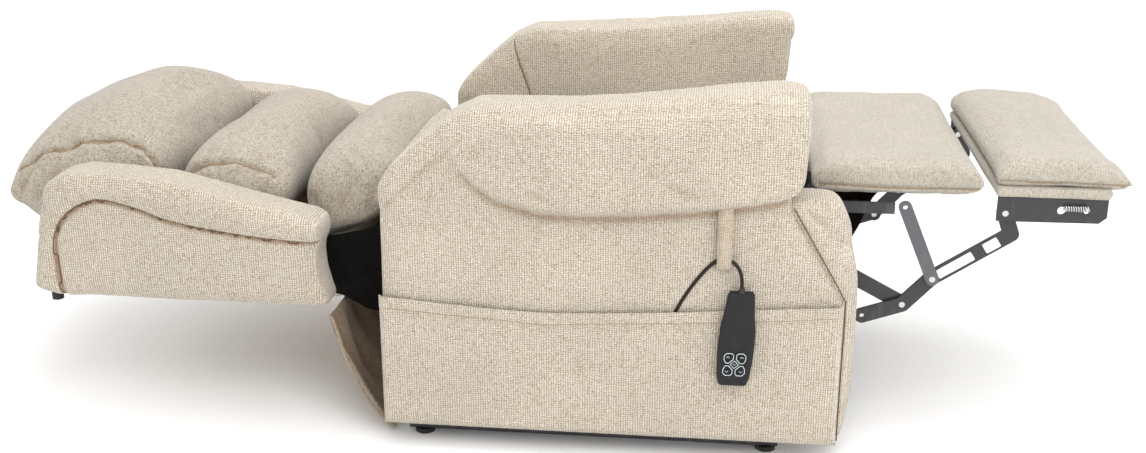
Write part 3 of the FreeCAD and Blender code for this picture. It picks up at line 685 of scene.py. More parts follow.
GROUPS = {"weave": make_weave_group(), "grain": make_grain_group()}
CREAM, OAT, TAN = (0.76, 0.71, 0.64), (0.59, 0.54, 0.46), (0.27, 0.20, 0.13)
M = {
    "oat": woven("oat_chenille", CREAM, OAT, TAN),
    "pillow": woven("flecked_chenille", (0.49, 0.46, 0.40), (0.395, 0.35, 0.285), (0.27, 0.21, 0.145),
                    ribbing=0.6, fleck=0.9, rib=0.0044, net=0.35, crease=0.9),
    "calf": woven("pale_chenille", (0.50, 0.475, 0.42), (0.42, 0.385, 0.325), (0.31, 0.26, 0.19),
                  ribbing=0.6, fleck=0.8, rib=0.0044, net=0.35, crease=0.9),
    # Painted shade: the flap is of the beige cloth; the brown here stands for its shaded inside.
    "flap": woven("flap_cloth_painted_shade", (0.36, 0.27, 0.19), (0.25, 0.18, 0.12), (0.13, 0.085, 0.05), relief=0.001,
                  net=0.3, sheen=0.1),
    # Painted sheen: black paint given a lighter grey colour for the sheen on the upright links.
    "painted_sheen_steel": grained("black_paint_with_painted_sheen", (0.10, 0.10, 0.11), 0.28, 0.42, dust=0.3, scale=1400,
                          metallic=0.4),
    "tape": woven("strap_tape", (0.62, 0.56, 0.47), (0.50, 0.43, 0.34), (0.33, 0.25, 0.17), rib=0.003,
                  relief=0.0008),
    "lining": woven("black_lining", (0.008, 0.0075, 0.007), (0.005, 0.0045, 0.004), (0.002, 0.002, 0.002),
                    rib=0.0022, relief=0.0005, sheen=0.0),
    "flap_hem": woven("flap_hem_cloth", (0.44, 0.37, 0.29), (0.33, 0.265, 0.19), (0.20, 0.145, 0.09),
                      rib=0.003, relief=0.0006),
    "brown_lining": woven("brown_lining", (0.026, 0.015, 0.011), (0.016, 0.009, 0.006),
                          (0.008, 0.005, 0.003), rib=0.0022, relief=0.0005, sheen=0.0),
    "soft_thread": grained("pale_seam_thread", (0.30, 0.21, 0.12), 0.7, 0.9, dust=0.0),
    "thread": grained("seam_thread", (0.13, 0.075, 0.035), 0.7, 0.9, dust=0.0),
    "steel": grained("black_paint", (0.022, 0.022, 0.024), 0.32, 0.52, dust=0.35, scale=1400),
    "bright": grained("zinc_plate", (0.52, 0.52, 0.53), 0.28, 0.45, dust=0.1, metallic=1.0),
    "rubber": grained("black_rubber", (0.012, 0.012, 0.012), 0.6, 0.8, dust=0.3),
    "motor": grained("motor_plastic", (0.03, 0.03, 0.033), 0.4, 0.6, dust=0.2),
    "charcoal": grained("charcoal_plastic", (0.016, 0.016, 0.017), 0.55, 0.7, dust=0.04, scale=2600,
                        relief=0.00012, specular=0.22),
    "key": grained("key_plastic", (0.008, 0.0085, 0.0095), 0.5, 0.6, dust=0.0, specular=0.2),
    "mark": grained("key_outline", (0.55, 0.60, 0.62), 0.4, 0.5, dust=0.0),
    "cord": grained("cord_jacket", (0.016, 0.009, 0.006), 0.45, 0.6, dust=0.05, specular=0.25),
    "label": grained("blank_label", (0.74, 0.74, 0.73), 0.4, 0.6, dust=0.15),
    "board": make_wood(),
}


def make_cord():
    """The handset's cord: out of the panel, up behind the pocket hem, through the strap loop."""
    route = [(0.205, -0.3896, 0.060), (0.240, -0.3896, 0.060), (0.264, -0.3896, 0.080),
             (0.266, -0.3896, 0.118), (0.250, -0.3896, 0.162), (0.228, -0.3896, 0.202),
             (0.236, -0.3896, 0.254), (0.262, -0.3898, 0.304), (0.292, -0.3906, 0.346),
             (0.312, -0.3924, 0.362), (0.334, -0.398, 0.361), (0.348, -0.407, 0.342),
             (0.348, -0.407, 0.322)]
    data = bpy.data.curves.new("handset_lead", "CURVE")
    data.dimensions = "3D"
    data.bevel_depth = 0.003
    data.bevel_resolution = 4
    data.resolution_u = 12
    data.use_fill_caps = True
    spline = data.splines.new("NURBS")
    spline.points.add(len(route) - 1)
    for point, place in zip(spline.points, route):
        point.co = (*place, 1)
    spline.order_u = 3
    spline.use_endpoint_u = True
    lead = bpy.data.objects.new("handset_lead", data)
    bpy.context.scene.collection.objects.link(lead)
    dress(lead, M["cord"], "chassis", ["handset_cord"])


# ---- back ----------------------------------------------------------------------------


def cushion(name, outline, near, far, corner, voxel=0.007, inset=0.008, pressure=4.0, cap=0.022):
    """A stuffed form: drawn, its corners eased, cut a little small and blown up to size."""
    obj = drawn_solid(name, outline, near, far)
    apply_modifier(obj, "BEVEL", width=corner, segments=3, limit_method="ANGLE",
                   angle_limit=math.radians(28))
    even_skin(obj, voxel)
    sculpt(obj, lambda points, normals: -normals * inset)
    stuff(obj, pressure, cap)
    return apply_modifier(obj, "SMOOTH", factor=0.5, iterations=5)


def crumple(obj, amount, seed, scale=9.0):
    """Soft unevenness of stuffing under cloth."""
    rng = np.random.default_rng(seed)
    waves = [(rng.normal(0, scale, 3), rng.uniform(0, math.tau)) for _ in range(9)]

    def effect(points, normals):
        total = sum(np.sin(points @ vector + phase) for vector, phase in waves) / 9
        return normals * (total * amount)[:, None]

    return sculpt(obj, effect)


def pillow_seams(name, pillow, centre, end, start, stop, depth=0.004):
    """The seam round each end of a back pillow."""
    for sign, side in ((RIGHT, "right"), (LEFT, "left")):
        rim = evened(ring_on(pillow, (centre[0], end * sign, centre[1]), start, stop), 30)
        stitched_seam("%s_seam_%s" % (name, side), pillow, rim, "back", M["soft_thread"], radius=0.0009,
                      depth=depth, width=0.006)


def crease_all(obj, creases):
    return sculpt(obj, lambda points, normals: sum(fold(points, normals, *crease) for crease in creases))


def make_head_pillow():
    outline = [(-0.964, 0.372), (-0.969, 0.402), (-0.945, 0.452), (-0.888, 0.500), (-0.800, 0.530),
               (-0.730, 0.535), (-0.672, 0.516), (-0.648, 0.468), (-0.657, 0.420), (-0.722, 0.306),
               (-0.850, 0.292), (-0.878, 0.300)]
    pillow = cushion("head_pillow_cover", outline, -0.268, 0.268, corner=0.028, cap=0.016)
    crown_ends(pillow, -0.81, 0.36, 0.06, 0.272, 0.24, tuck=0.14)
    crumple(pillow, 0.005, 3)
    refine(pillow)
    crease_all(pillow, [
        ((-0.955, -0.25, 0.39), (-0.88, -0.19, 0.49), 0.007, 0.012),
        ((-0.93, -0.268, 0.37), (-0.88, -0.25, 0.46), 0.006, 0.010),
        ((-0.965, -0.22, 0.40), (-0.93, -0.12, 0.46), 0.004, 0.012),
        ((-0.90, -0.268, 0.36), (-0.84, -0.268, 0.44), 0.005, 0.010),
        ((-0.69, -0.262, 0.40), (-0.71, -0.24, 0.50), 0.005, 0.010),
        ((-0.96, 0.12, 0.41), (-0.90, 0.24, 0.47), 0.005, 0.012)])
    pillow_seams("head_pillow", pillow, (-0.80, 0.40), 0.246, 14, 172, depth=0.006)
    store_fold_shade_mask(pillow)
    dress(pillow, M["pillow"], "back", ["head_pillow"])


def make_mid_pillow():
    outline = [(-0.633, 0.466), (-0.598, 0.498), (-0.522, 0.502), (-0.458, 0.478), (-0.424, 0.440),
               (-0.430, 0.380), (-0.500, 0.300), (-0.634, 0.300), (-0.640, 0.420)]
    pillow = cushion("mid_pillow_cover", outline, -0.268, 0.268, corner=0.024, cap=0.015)
    crown_ends(pillow, -0.53, 0.34, 0.08, 0.272, 0.26, tuck=0.10)
    crumple(pillow, 0.004, 5)
    refine(pillow)
    crease_all(pillow, [
        ((-0.600, -0.17, 0.51), (-0.575, -0.245, 0.46), 0.007, 0.008),
        ((-0.585, -0.18, 0.51), (-0.540, -0.235, 0.48), 0.006, 0.008),
        ((-0.565, -0.16, 0.51), (-0.535, -0.22, 0.49), 0.004, 0.007),
        ((-0.625, -0.25, 0.43), (-0.56, -0.262, 0.46), 0.006, 0.009),
        ((-0.54, -0.262, 0.44), (-0.48, -0.262, 0.44), 0.004, 0.009),
        ((-0.50, 0.14, 0.50), (-0.46, 0.25, 0.45), 0.004, 0.010)])
    pillow_seams("mid_pillow", pillow, (-0.53, 0.40), 0.250, 22, 160)
    store_fold_shade_mask(pillow)
    dress(pillow, M["pillow"], "back", ["mid_pillow"])


def make_lumbar_pillow():
    outline = [(-0.412, 0.440), (-0.380, 0.482), (-0.310, 0.495), (-0.246, 0.480), (-0.226, 0.440),
               (-0.240, 0.390), (-0.300, 0.345), (-0.400, 0.302), (-0.414, 0.380)]
    pillow = cushion("lumbar_pillow_cover", outline, -0.268, 0.268, corner=0.026, cap=0.015)
    crown_ends(pillow, -0.32, 0.34, 0.10, 0.272, 0.16, tuck=0.12)
    crumple(pillow, 0.004, 8)
    refine(pillow)
    crease_all(pillow, [
        ((-0.395, -0.262, 0.36), (-0.370, -0.235, 0.46), 0.005, 0.009),
        ((-0.350, -0.268, 0.36), (-0.310, -0.250, 0.45), 0.006, 0.014),
        ((-0.300, -0.268, 0.37), (-0.262, -0.245, 0.45), 0.006, 0.012),
        ((-0.34, -0.20, 0.50), (-0.30, -0.25, 0.46), 0.004, 0.012)])
    store_fold_shade_mask(pillow)
    dress(pillow, M["pillow"], "back", ["lumbar_pillow"])


WING_SEAM = [(-0.812, 0.225), (-0.815, 0.300), (-0.811, 0.345), (-0.785, 0.384), (-0.733, 0.409),
             (-0.670, 0.398), (-0.606, 0.376), (-0.500, 0.358), (-0.420, 0.350), (-0.345, 0.346)]


def make_wing():
    """One side wing of the back: a flat side panel framed by a rolled band."""
    outline = [(-0.873, 0.246), (-0.852, 0.360), (-0.830, 0.440), (-0.800, 0.460), (-0.765, 0.467),
               (-0.690, 0.465), (-0.610, 0.459), (-0.480, 0.427), (-0.365, 0.401), (-0.342, 0.388),
               (-0.341, 0.352), (-0.352, 0.330), (-0.350, 0.290), (-0.338, 0.222), (-0.817, 0.223)]
    wing = cushion("right_wing_cover", outline, -0.357, -0.279, corner=0.014, voxel=0.0058, inset=0.003,
                   pressure=3.0, cap=0.006)
    seam = [(x, z) for x, _, z in through([(x, 0, z) for x, z in WING_SEAM], 120)]

    def band(points, normals):
        """Swells the band that frames the side panel."""
        x, z = points[:, 0], points[:, 2]
        line = np.array(seam)
        away = np.full(len(points), np.inf)
        for px, pz in line[::2]:
            away = np.minimum(away, np.hypot(x - px, z - pz))
        top = np.interp(x, line[16:, 0], line[16:, 1])
        outside = (x < -0.815) | ((x > line[16, 0]) & (z > top))
        outer = ease(-points[:, 1], 0.318, 0.345)
        swell = np.where(outside, 0.012 * np.clip(away / 0.030, 0, 1) ** 0.6, 0.0)
        return np.column_stack((np.zeros(len(points)), -outer * swell, np.zeros(len(points))))

    sculpt(wing, band)
    apply_modifier(wing, "SMOOTH", factor=0.5, iterations=2)
    crumple(wing, 0.002, 11, scale=16)
    refine(wing)
    crease_all(wing, [
        ((-0.848, -0.366, 0.425), (-0.806, -0.360, 0.365), 0.004, 0.005),
        ((-0.862, -0.360, 0.345), (-0.818, -0.358, 0.338), 0.003, 0.005),
        ((-0.852, -0.320, 0.438), (-0.825, -0.366, 0.400), 0.003, 0.006),
        ((-0.800, -0.366, 0.452), (-0.775, -0.366, 0.402), 0.003, 0.007),
        ((-0.420, -0.362, 0.370), (-0.350, -0.362, 0.385), 0.003, 0.008)])
    thread = stitched_seam("right_wing_seam", wing, side_line(wing, RIGHT, WING_SEAM, 0.32, 140), "back",
                           M["thread"], radius=0.0010, depth=0.006, width=0.0036)
    store_fold_shade_mask(wing)
    dress(wing, M["oat"], "back", ["right_wing"])
    other = mirrored(wing, "left_wing_cover")
    dress(other, M["oat"], "back", ["left_wing"])
    dress(mirrored(thread, "left_wing_seam"), M["thread"], "back")


def make_outside_back():
    """The cloth-covered panel underneath, between the wings."""
    outline = [(-0.874, 0.245), (-0.866, 0.231), (-0.817, 0.219), (-0.345, 0.216), (-0.342, 0.229),
               (-0.812, 0.236), (-0.858, 0.249)]
    panel = drawn_solid("outside_back_cover", outline, -0.274, 0.274)
    even_skin(panel, 0.006, rounds=3)
    crumple(panel, 0.003, 14, scale=20)
    refine(panel)
    seam = through([(-0.80, -0.262, 0.217), (-0.60, -0.262, 0.217), (-0.36, -0.262, 0.216)], 40)
    stitched_seam("outside_back_seam", panel, seam, "back", M["thread"], depth=0.003)
    store_fold_shade_mask(panel)
    dress(panel, M["oat"], "back", ["back_shell"])


# ---- arms ----------------------------------------------------------------------------


def make_arm():
    """One arm: its side panels and the stuffed roll over them, in one cover."""
    outer = drawn_solid("right_arm_cover", [
        (-0.249, 0.037), (0.512, 0.037), (0.512, 0.294), (0.425, 0.446), (0.430, 0.596),
        (-0.100, 0.560), (-0.249, 0.420)], -0.384, -0.352)
    inner = drawn_solid("arm_inner_side", [
        (-0.243, 0.182), (0.488, 0.182), (0.488, 0.330), (0.437, 0.440), (0.440, 0.598),
        (-0.100, 0.562), (-0.243, 0.430)], -0.305, -0.288)
    crest = drawn_solid("arm_crest", [
        (-0.249, 0.414), (-0.090, 0.556), (0.060, 0.570), (0.444, 0.580), (0.447, 0.616),
        (0.436, 0.634), (0.400, 0.637), (0.329, 0.632), (0.227, 0.618), (0.149, 0.609),
        (0.070, 0.604), (-0.010, 0.603), (-0.085, 0.602), (-0.128, 0.582), (-0.178, 0.541),
        (-0.230, 0.492), (-0.250, 0.462)], -0.386, -0.288)
    droop = drawn_solid("arm_outside_roll", [
        (-0.138, 0.558), (-0.136, 0.538), (-0.116, 0.506), (-0.080, 0.473), (-0.043, 0.451),
        (0.025, 0.432), (0.080, 0.429), (0.130, 0.431), (0.208, 0.437), (0.306, 0.447),
        (0.407, 0.465), (0.443, 0.480), (0.446, 0.600), (0.430, 0.620), (0.227, 0.606),
        (0.070, 0.594), (-0.085, 0.590)], -0.413, -0.366)
    for part, corner in ((outer, 0.011), (inner, 0.005), (crest, 0.020), (droop, 0.015)):
        apply_modifier(part, "BEVEL", width=corner, segments=3, limit_method="ANGLE",
                       angle_limit=math.radians(30))
    cover = joined("right_arm_cover", outer, inner, crest, droop)
    even_skin(cover, 0.0073, rounds=4)

    def settle(points, normals):
        """Thins the roll out to nothing at its rear end, and rounds its shoulder."""
        fade = 1 - ease(points[:, 0] - 0.55 * (points[:, 2] - 0.50), -0.150, 0.010)
        proud = np.maximum(-points[:, 1] - 0.386, 0)
        shoulder = ease(points[:, 2], 0.575, 0.650) * ease(-points[:, 1], 0.345, 0.415) * 0.010
        return np.column_stack((np.zeros(len(points)), proud * fade * 0.8, -shoulder))

    sculpt(cover, settle)
    stuff(cover, 2.5, 0.005)
    crumple(cover, 0.0022, 21, scale=12)
    refine(cover)
    crease_all(cover, [
        ((0.300, -0.412, 0.455), (0.220, -0.416, 0.490), 0.004, 0.010),
        ((0.060, -0.412, 0.440), (0.000, -0.414, 0.470), 0.004, 0.012),
        ((0.444, -0.395, 0.470), (0.405, -0.414, 0.520), 0.003, 0.009),
        ((-0.100, -0.390, 0.500), (-0.060, -0.400, 0.545), 0.003, 0.012)])
    band = side_line(cover, RIGHT, [(-0.232, 0.425), (-0.180, 0.476), (-0.120, 0.528), (-0.098, 0.548)],
                     inside=0.375)
    groove(cover, band, 0.002, 0.004)
    under = through([(-0.100, -0.386, 0.486), (-0.080, -0.386, 0.464), (-0.043, -0.386, 0.441),
                     (0.025, -0.386, 0.421), (0.130, -0.386, 0.420), (0.208, -0.386, 0.427),
                     (0.306, -0.386, 0.438), (0.412, -0.386, 0.457)], 100)
    groove(cover, under, 0.004, 0.007)
    dart = [(-0.125, -0.288, 0.578), (-0.112, -0.288, 0.530), (-0.090, -0.288, 0.465),
            (-0.085, -0.288, 0.440)]
    thread = stitched_seam("right_arm_inner_seam", cover, through(dart, 40), "chassis", M["thread"],
                           radius=0.0009, depth=0.003, width=0.005)
    store_fold_shade_mask(cover)
    nodes = ["%s_arm_panel", "%s_arm_pad"]
    dress(cover, M["oat"], "chassis", [n % "right" for n in nodes] + ["arm_inner_panels"])
    other = mirrored(cover, "left_arm_cover")
    dress(other, M["oat"], "chassis", [n % "left" for n in nodes])
    dress(mirrored(thread, "left_arm_inner_seam"), M["thread"], "chassis")


def make_front_facing():
    """The puffy border down the front of one arm."""
    outline = [(0.478, 0.040), (0.524, 0.040), (0.529, 0.120), (0.529, 0.320), (0.516, 0.380),
               (0.513, 0.425), (0.504, 0.448), (0.486, 0.460), (0.440, 0.460), (0.400, 0.452),
               (0.450, 0.350), (0.480, 0.290)]
    facing = cushion("right_front_facing", outline, -0.380, -0.290, corner=0.013, voxel=0.005,
                     inset=0.002, pressure=4.0, cap=0.008)

    def fall_back(points, normals):
        """The border falls back from its seam towards the front."""
        forward = ease(points[:, 0] - 0.45 * np.minimum(0.30 - points[:, 2], 0), 0.485, 0.560)
        outer = ease(-points[:, 1], 0.30, 0.37)
        return np.column_stack((np.zeros(len(points)), forward * outer * 0.016, np.zeros(len(points))))

    sculpt(facing, fall_back)
    crumple(facing, 0.0025, 41, scale=26)
    refine(facing)
    crease_all(facing, [((0.440, -0.378, 0.448), (0.480, -0.372, 0.410), 0.004, 0.006),
                        ((0.470, -0.376, 0.440), (0.490, -0.370, 0.385), 0.003, 0.006),
                        ((0.500, -0.372, 0.330), (0.528, -0.350, 0.350), 0.003, 0.008)])
    store_fold_shade_mask(facing)
    dress(facing, M["oat"], "chassis", ["arm_front_borders"])
    seam = through([(0.424, -0.3845, 0.447), (0.470, -0.3850, 0.368), (0.509, -0.3845, 0.300),
                    (0.5135, -0.3835, 0.280), (0.5135, -0.3830, 0.160), (0.5135, -0.3825, 0.045)], 90)
    thread = tube("right_facing_seam", seam - np.array((0, -0.0035, 0)), 0.0012)
    dress(thread, M["thread"], "chassis")
    other = mirrored(facing, "left_front_facing")
    dress(other, M["oat"], "chassis")
    dress(mirrored(thread, "left_facing_seam"), M["thread"], "chassis")


# ---- pocket, strap and loose cloth ---------------------------------------------------


def cloth_net(name, across, along, place):
    """A cloth as a fine net; place(u, v) gives where each knot hangs, u and v from 0 to 1."""
    deselect()
    bpy.ops.mesh.primitive_grid_add(x_subdivisions=across, y_subdivisions=along, size=2)
    obj = bpy.context.object
    obj.name = name
    grid = (points_of(obj)[:, :2] + 1) / 2
    set_points(obj, np.column_stack(place(grid[:, 0], grid[:, 1])))
    return obj


def along(profile, v):
    """X and Z at the shares v of the way down a profile."""
    last = len(profile) - 1
    index = np.clip((v * last).astype(int), 0, last)
    return profile[index, 0], profile[index, 1]


def thickened(obj, thickness):
    apply_modifier(obj, "SOLIDIFY", thickness=thickness, offset=0)
    repair(obj)
    return smooth_shading(obj)


def strip(name, path, across, thickness):
    """Flat webbing: one edge drawn across, then extruded along its path."""
    deselect()
    bpy.ops.mesh.primitive_plane_add(size=0.01)
    obj = bpy.context.object
    obj.name = name
    bpy.ops.object.mode_set(mode="EDIT")
    bpy.ops.mesh.select_all(action="SELECT")
    bpy.ops.mesh.merge(type="CENTER")
    bpy.ops.transform.translate(value=path[0])
    bpy.ops.mesh.extrude_region_move(TRANSFORM_OT_translate={"value": across})
    bpy.ops.mesh.select_all(action="SELECT")
    for start, stop in zip(path, path[1:]):
        step = tuple(float(b - a) for a, b in zip(start, stop))
        bpy.ops.mesh.extrude_region_move(TRANSFORM_OT_translate={"value": step})
    bpy.ops.object.mode_set(mode="OBJECT")
    return thickened(obj, thickness)


def make_pocket():
    """The flat pocket cloth on the right side panel, with its hem along the open top."""
    rear, front, floor_edge = -0.2465, 0.5105, 0.040
    top_x = [rear, 0.028, 0.300, front]
    top_z = [0.2745, 0.256, 0.272, 0.2895]

    def place(u, v):
        x = rear + (front - rear) * u
        top = np.interp(x, top_x, top_z)
        smooth_top = sum(np.interp(np.clip(x + shift, rear, front), top_x, top_z)
                         for shift in (-0.06, -0.03, 0.0, 0.03, 0.06)) / 5
        top = 0.3 * top + 0.7 * smooth_top
        z = floor_edge + (top - floor_edge) * v
        sewn = np.minimum(ease(u, 0, 0.012), ease(1 - u, 0, 0.012))
        sewn = np.minimum(sewn, ease(v, 0, 0.05))
        y = -(0.3862 + 0.0091 * sewn)
        y = y - 0.0012 * np.sin(x * 21 + 0.6) * np.sin(z * 17) * sewn
        return x, y, z

    pocket = cloth_net("pocket_cloth", 240, 84, place)
    hem_line = [(x, -0.3955, np.interp(x, top_x, top_z) - 0.021) for x in np.linspace(rear, front, 60)]

    def hem(points, normals):
        """The turned-over hem stands a little proud of the cloth below it."""
        down = np.interp(points[:, 0], top_x, top_z) - points[:, 2]
        rise = ease(0.022 - down, 0.0, 0.003) * 0.0011
        return np.column_stack((np.zeros(len(points)), -rise, np.zeros(len(points))))

    thickened(pocket, 0.0018)
    sculpt(pocket, hem)
    thread = tube("pocket_hem_stitching", on_surface(pocket, [(x, y - 0.01, z) for x, y, z in hem_line]),
                  0.0005)
    dress(thread, M["soft_thread"], "chassis")
    store_fold_shade_mask(pocket)
    dress(pocket, M["oat"], "chassis", ["side_pocket"])


def make_strap():
    """A folded tape loop under the arm roll that holds the handset's lead."""
    y_back, y_front = -0.3878, -0.4018
    path = [(0.307, -0.3885, 0.458), (0.307, y_back, 0.452)]
    path += [(0.307, y_back, z) for z in (0.43, 0.41, 0.39, 0.37, 0.356)]
    middle = (y_back + y_front) / 2
    for turn in range(1, 8):
        angle = math.pi * turn / 8
        path.append((0.307, middle + (y_back - middle) * math.cos(angle), 0.352 - 0.006 * math.sin(angle)))
    path += [(0.307, y_front, z) for z in (0.356, 0.37, 0.39, 0.41, 0.43, 0.448)]
    path += [(0.307, -0.3985, 0.458)]
    tape = strip("handset_tape", path, (0.023, 0, 0), 0.0017)
    store_fold_shade_mask(tape)
    dress(tape, M["tape"], "chassis", ["handset_strap"])


def make_rear_flap():
    """The loose cloth behind the seat box, from under the back down to the floor."""
    profile = through([(-0.346, 0.212), (-0.341, 0.180), (-0.332, 0.137), (-0.304, 0.070),
                       (-0.266, 0.022), (-0.240, 0.008)], 240)

    def place(u, v):
        across = (u * 2 - 1) * 0.342
        x, z = along(profile, v)
        slack = np.sin(v * math.pi) ** 0.7
        hem = ease(np.abs(across), 0.320, 0.342)
        ripple = (0.007 * np.sin(across * 41 + v * 4) + 0.004 * np.sin(across * 97 - v * 6)) * slack
        pucker = ease(v, 0.72, 0.95) * 0.006 * np.sin(across * 150 + 1.3)
        return x + ripple + hem * 0.010 * slack, across, z + np.abs(pucker) + 0.3 * ripple

    flap = cloth_net("rear_flap_cloth", 150, 90, place)
    thickened(flap, 0.0024)
    hems = []
    for sign, side in ((RIGHT, "right"), (LEFT, "left")):
        edge = [(x + 0.010 * math.sin(math.pi * k / 239) ** 0.7, 0.342 * sign, z)
                for k, (x, _, z) in enumerate(np.insert(profile, 1, 0, axis=1))][::4]
        hem = tube("rear_flap_hem_%s" % side, edge, 0.0030, sides=8)
        dress(hem, M["flap_hem"])
        hems.append(hem)
    store_fold_shade_mask(flap, gain=30)
    # The flap's brown colour is painted shade on beige cloth.
    dress(flap, M["flap"], None, ["rear_flap"])
    for piece in (flap, *hems):
        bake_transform(piece)


def make_seat_gusset():
    """The slack cloth that joins the seat to the back cushions."""
    profile = through([(-0.256, 0.462), (-0.230, 0.452), (-0.200, 0.446), (-0.160, 0.446),
                       (-0.120, 0.452), (-0.090, 0.458)], 100)

    def place(u, v):
        across = (u * 2 - 1) * 0.255
        x, z = along(profile, v)
        dip = 0.004 * np.sin(across * 40 + v * 3) * np.sin(v * math.pi)
        tucked = 0.040 * ease(np.abs(across), 0.17, 0.255) * (1 - v) + 0.010 * (1 - v)
        return x, across, z + dip - tucked

    gusset = cloth_net("seat_gusset_cloth", 90, 40, place)
    thickened(gusset, 0.003)
    store_fold_shade_mask(gusset)
    dress(gusset, M["oat"], None)
    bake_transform(gusset)


def make_side_gusset():
    """Black cloth beside the back hinge, loosely closing the gap between wing and seat box."""
    def place(u, v):
        x = -0.395 + 0.155 * u
        places = [-0.395, -0.340, -0.300, -0.240]
        low = np.interp(x, places, [0.238, 0.222, 0.200, 0.190])
        high = np.interp(x, places, [0.330, 0.336, 0.346, 0.368])
        z = low + (high - low) * v
        slack = np.sin(u * math.pi) * np.sin(v * math.pi)
        wave = 0.0022 * np.sin(x * 95 + z * 60) + 0.0016 * np.sin(z * 150 - x * 40)
        return x, -0.2705 + wave * slack, z

    gusset = cloth_net("right_black_gusset", 50, 44, place)
    thickened(gusset, 0.0016)
    store_fold_shade_mask(gusset)
    for side, piece in (("right", gusset), ("left", mirrored(gusset, "left_black_gusset"))):
        dress(piece, M["lining"], None)
        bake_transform(piece)


def make_back_lining():
    """Black lining that closes the gap between the back and the seat box."""
    profile = through([(-0.348, 0.222), (-0.335, 0.240), (-0.322, 0.262), (-0.312, 0.290),
                       (-0.292, 0.326)], 100)

    def place(u, v):
        across = (u * 2 - 1) * 0.240
        x, z = along(profile, v)
        return x + 0.006 * np.sin(across * 47 + v * 4) * np.sin(v * math.pi), across, z

    lining = cloth_net("black_back_lining", 90, 36, place)
    thickened(lining, 0.002)
    store_fold_shade_mask(lining)
    dress(lining, M["lining"], "back", ["back_lining"])


# ---- seat and leg rest ---------------------------------------------------------------


def make_seat_cushion():
    outline = [(-0.088, 0.420), (-0.086, 0.456), (-0.050, 0.463), (0.400, 0.465), (0.440, 0.458),
               (0.448, 0.438), (0.440, 0.418), (-0.080, 0.416)]
    seat = cushion("seat_cushion_cover", outline, -0.268, 0.268, corner=0.014, inset=0.004, cap=0.012)
    sculpt(seat, lambda points, normals: np.column_stack(
        (np.zeros(len(points)), np.zeros(len(points)), np.maximum(0.413 - points[:, 2], 0))))
    crumple(seat, 0.004, 51)
    refine(seat)
    store_fold_shade_mask(seat)
    dress(seat, M["pillow"], "chassis", ["seat_cushion"])


def leg_welt(name, obj, places, body):
    """The welt seam along the lower side of a leg rest cushion."""
    threads = []
    for sign, side in ((RIGHT, "right"), (LEFT, "left")):
        threads.append(stitched_seam("%s_%s" % (name, side), obj, side_line(obj, sign, places), body,
                                     M["soft_thread"], radius=0.0009, depth=0.004, width=0.004))
    return threads


def make_calf_cushion():
    outline = [(0.448, 0.438), (0.447, 0.470), (0.470, 0.484), (0.560, 0.487), (0.700, 0.487),
               (0.732, 0.478), (0.746, 0.458), (0.742, 0.440), (0.600, 0.436)]
    calf = cushion("calf_cushion", outline, -0.268, 0.268, corner=0.014, voxel=0.006, inset=0.002,
                   cap=0.009)
    crumple(calf, 0.003, 61)
    refine(calf)
    threads = leg_welt("calf_cushion_welt", calf, [(0.470, 0.449), (0.600, 0.447), (0.736, 0.449)],
                       "chassis")
    store_fold_shade_mask(calf)
    dress(calf, M["calf"], "chassis", ["calf_pad"])
    for piece in (calf, *threads):
        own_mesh(piece)


def make_calf_lining():
    """Dark cloth under the calf cushion, down to the front of the seat box."""
    profile = through([(0.572, 0.437), (0.556, 0.420), (0.538, 0.375), (0.521, 0.335), (0.512, 0.300)], 60)

    def place(u, v):
        across = (u * 2 - 1) * 0.234
        x, z = along(profile, v)
        return x + 0.003 * np.sin(across * 52 + v * 3) * np.sin(v * math.pi), across, z

    lining = cloth_net("calf_lining_cloth", 80, 30, place)
    thickened(lining, 0.002)
    store_fold_shade_mask(lining)
    dress(lining, M["brown_lining"], "chassis")
    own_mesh(lining)


def make_foot_cushion():
    outline = [(0.748, 0.456), (0.747, 0.478), (0.762, 0.492), (0.810, 0.498), (0.900, 0.494),
               (0.950, 0.482), (0.976, 0.464), (0.974, 0.456)]
    foot = cushion("foot_cushion", outline, -0.268, 0.268, corner=0.011, voxel=0.006, inset=0.002,
                   cap=0.008)
    crumple(foot, 0.003, 71)
    refine(foot)
    leg_welt("foot_cushion_welt", foot, [(0.760, 0.464), (0.860, 0.463), (0.966, 0.461)], "footrest")
    store_fold_shade_mask(foot)
    dress(foot, M["calf"], "footrest", ["foot_pad"])


def make_foot_board_cover():
    """The cloth-covered board under the foot cushion."""
    board = drawn_solid("foot_board_cover", [
        (0.756, 0.4385), (0.934, 0.4385), (0.938, 0.452), (0.935, 0.456), (0.758, 0.456),
        (0.753, 0.450)], -0.262, 0.262)
    apply_modifier(board, "BEVEL", width=0.003, segments=2, limit_method="ANGLE",
                   angle_limit=math.radians(40))
    even_skin(board, 0.004, rounds=2)
    crumple(board, 0.0012, 77, scale=40)
    refine(board)
    store_fold_shade_mask(board)
    dress(board, M["calf"], "footrest", ["foot_board"])


# ---- labels and key outlines ----------------------------------------------------------


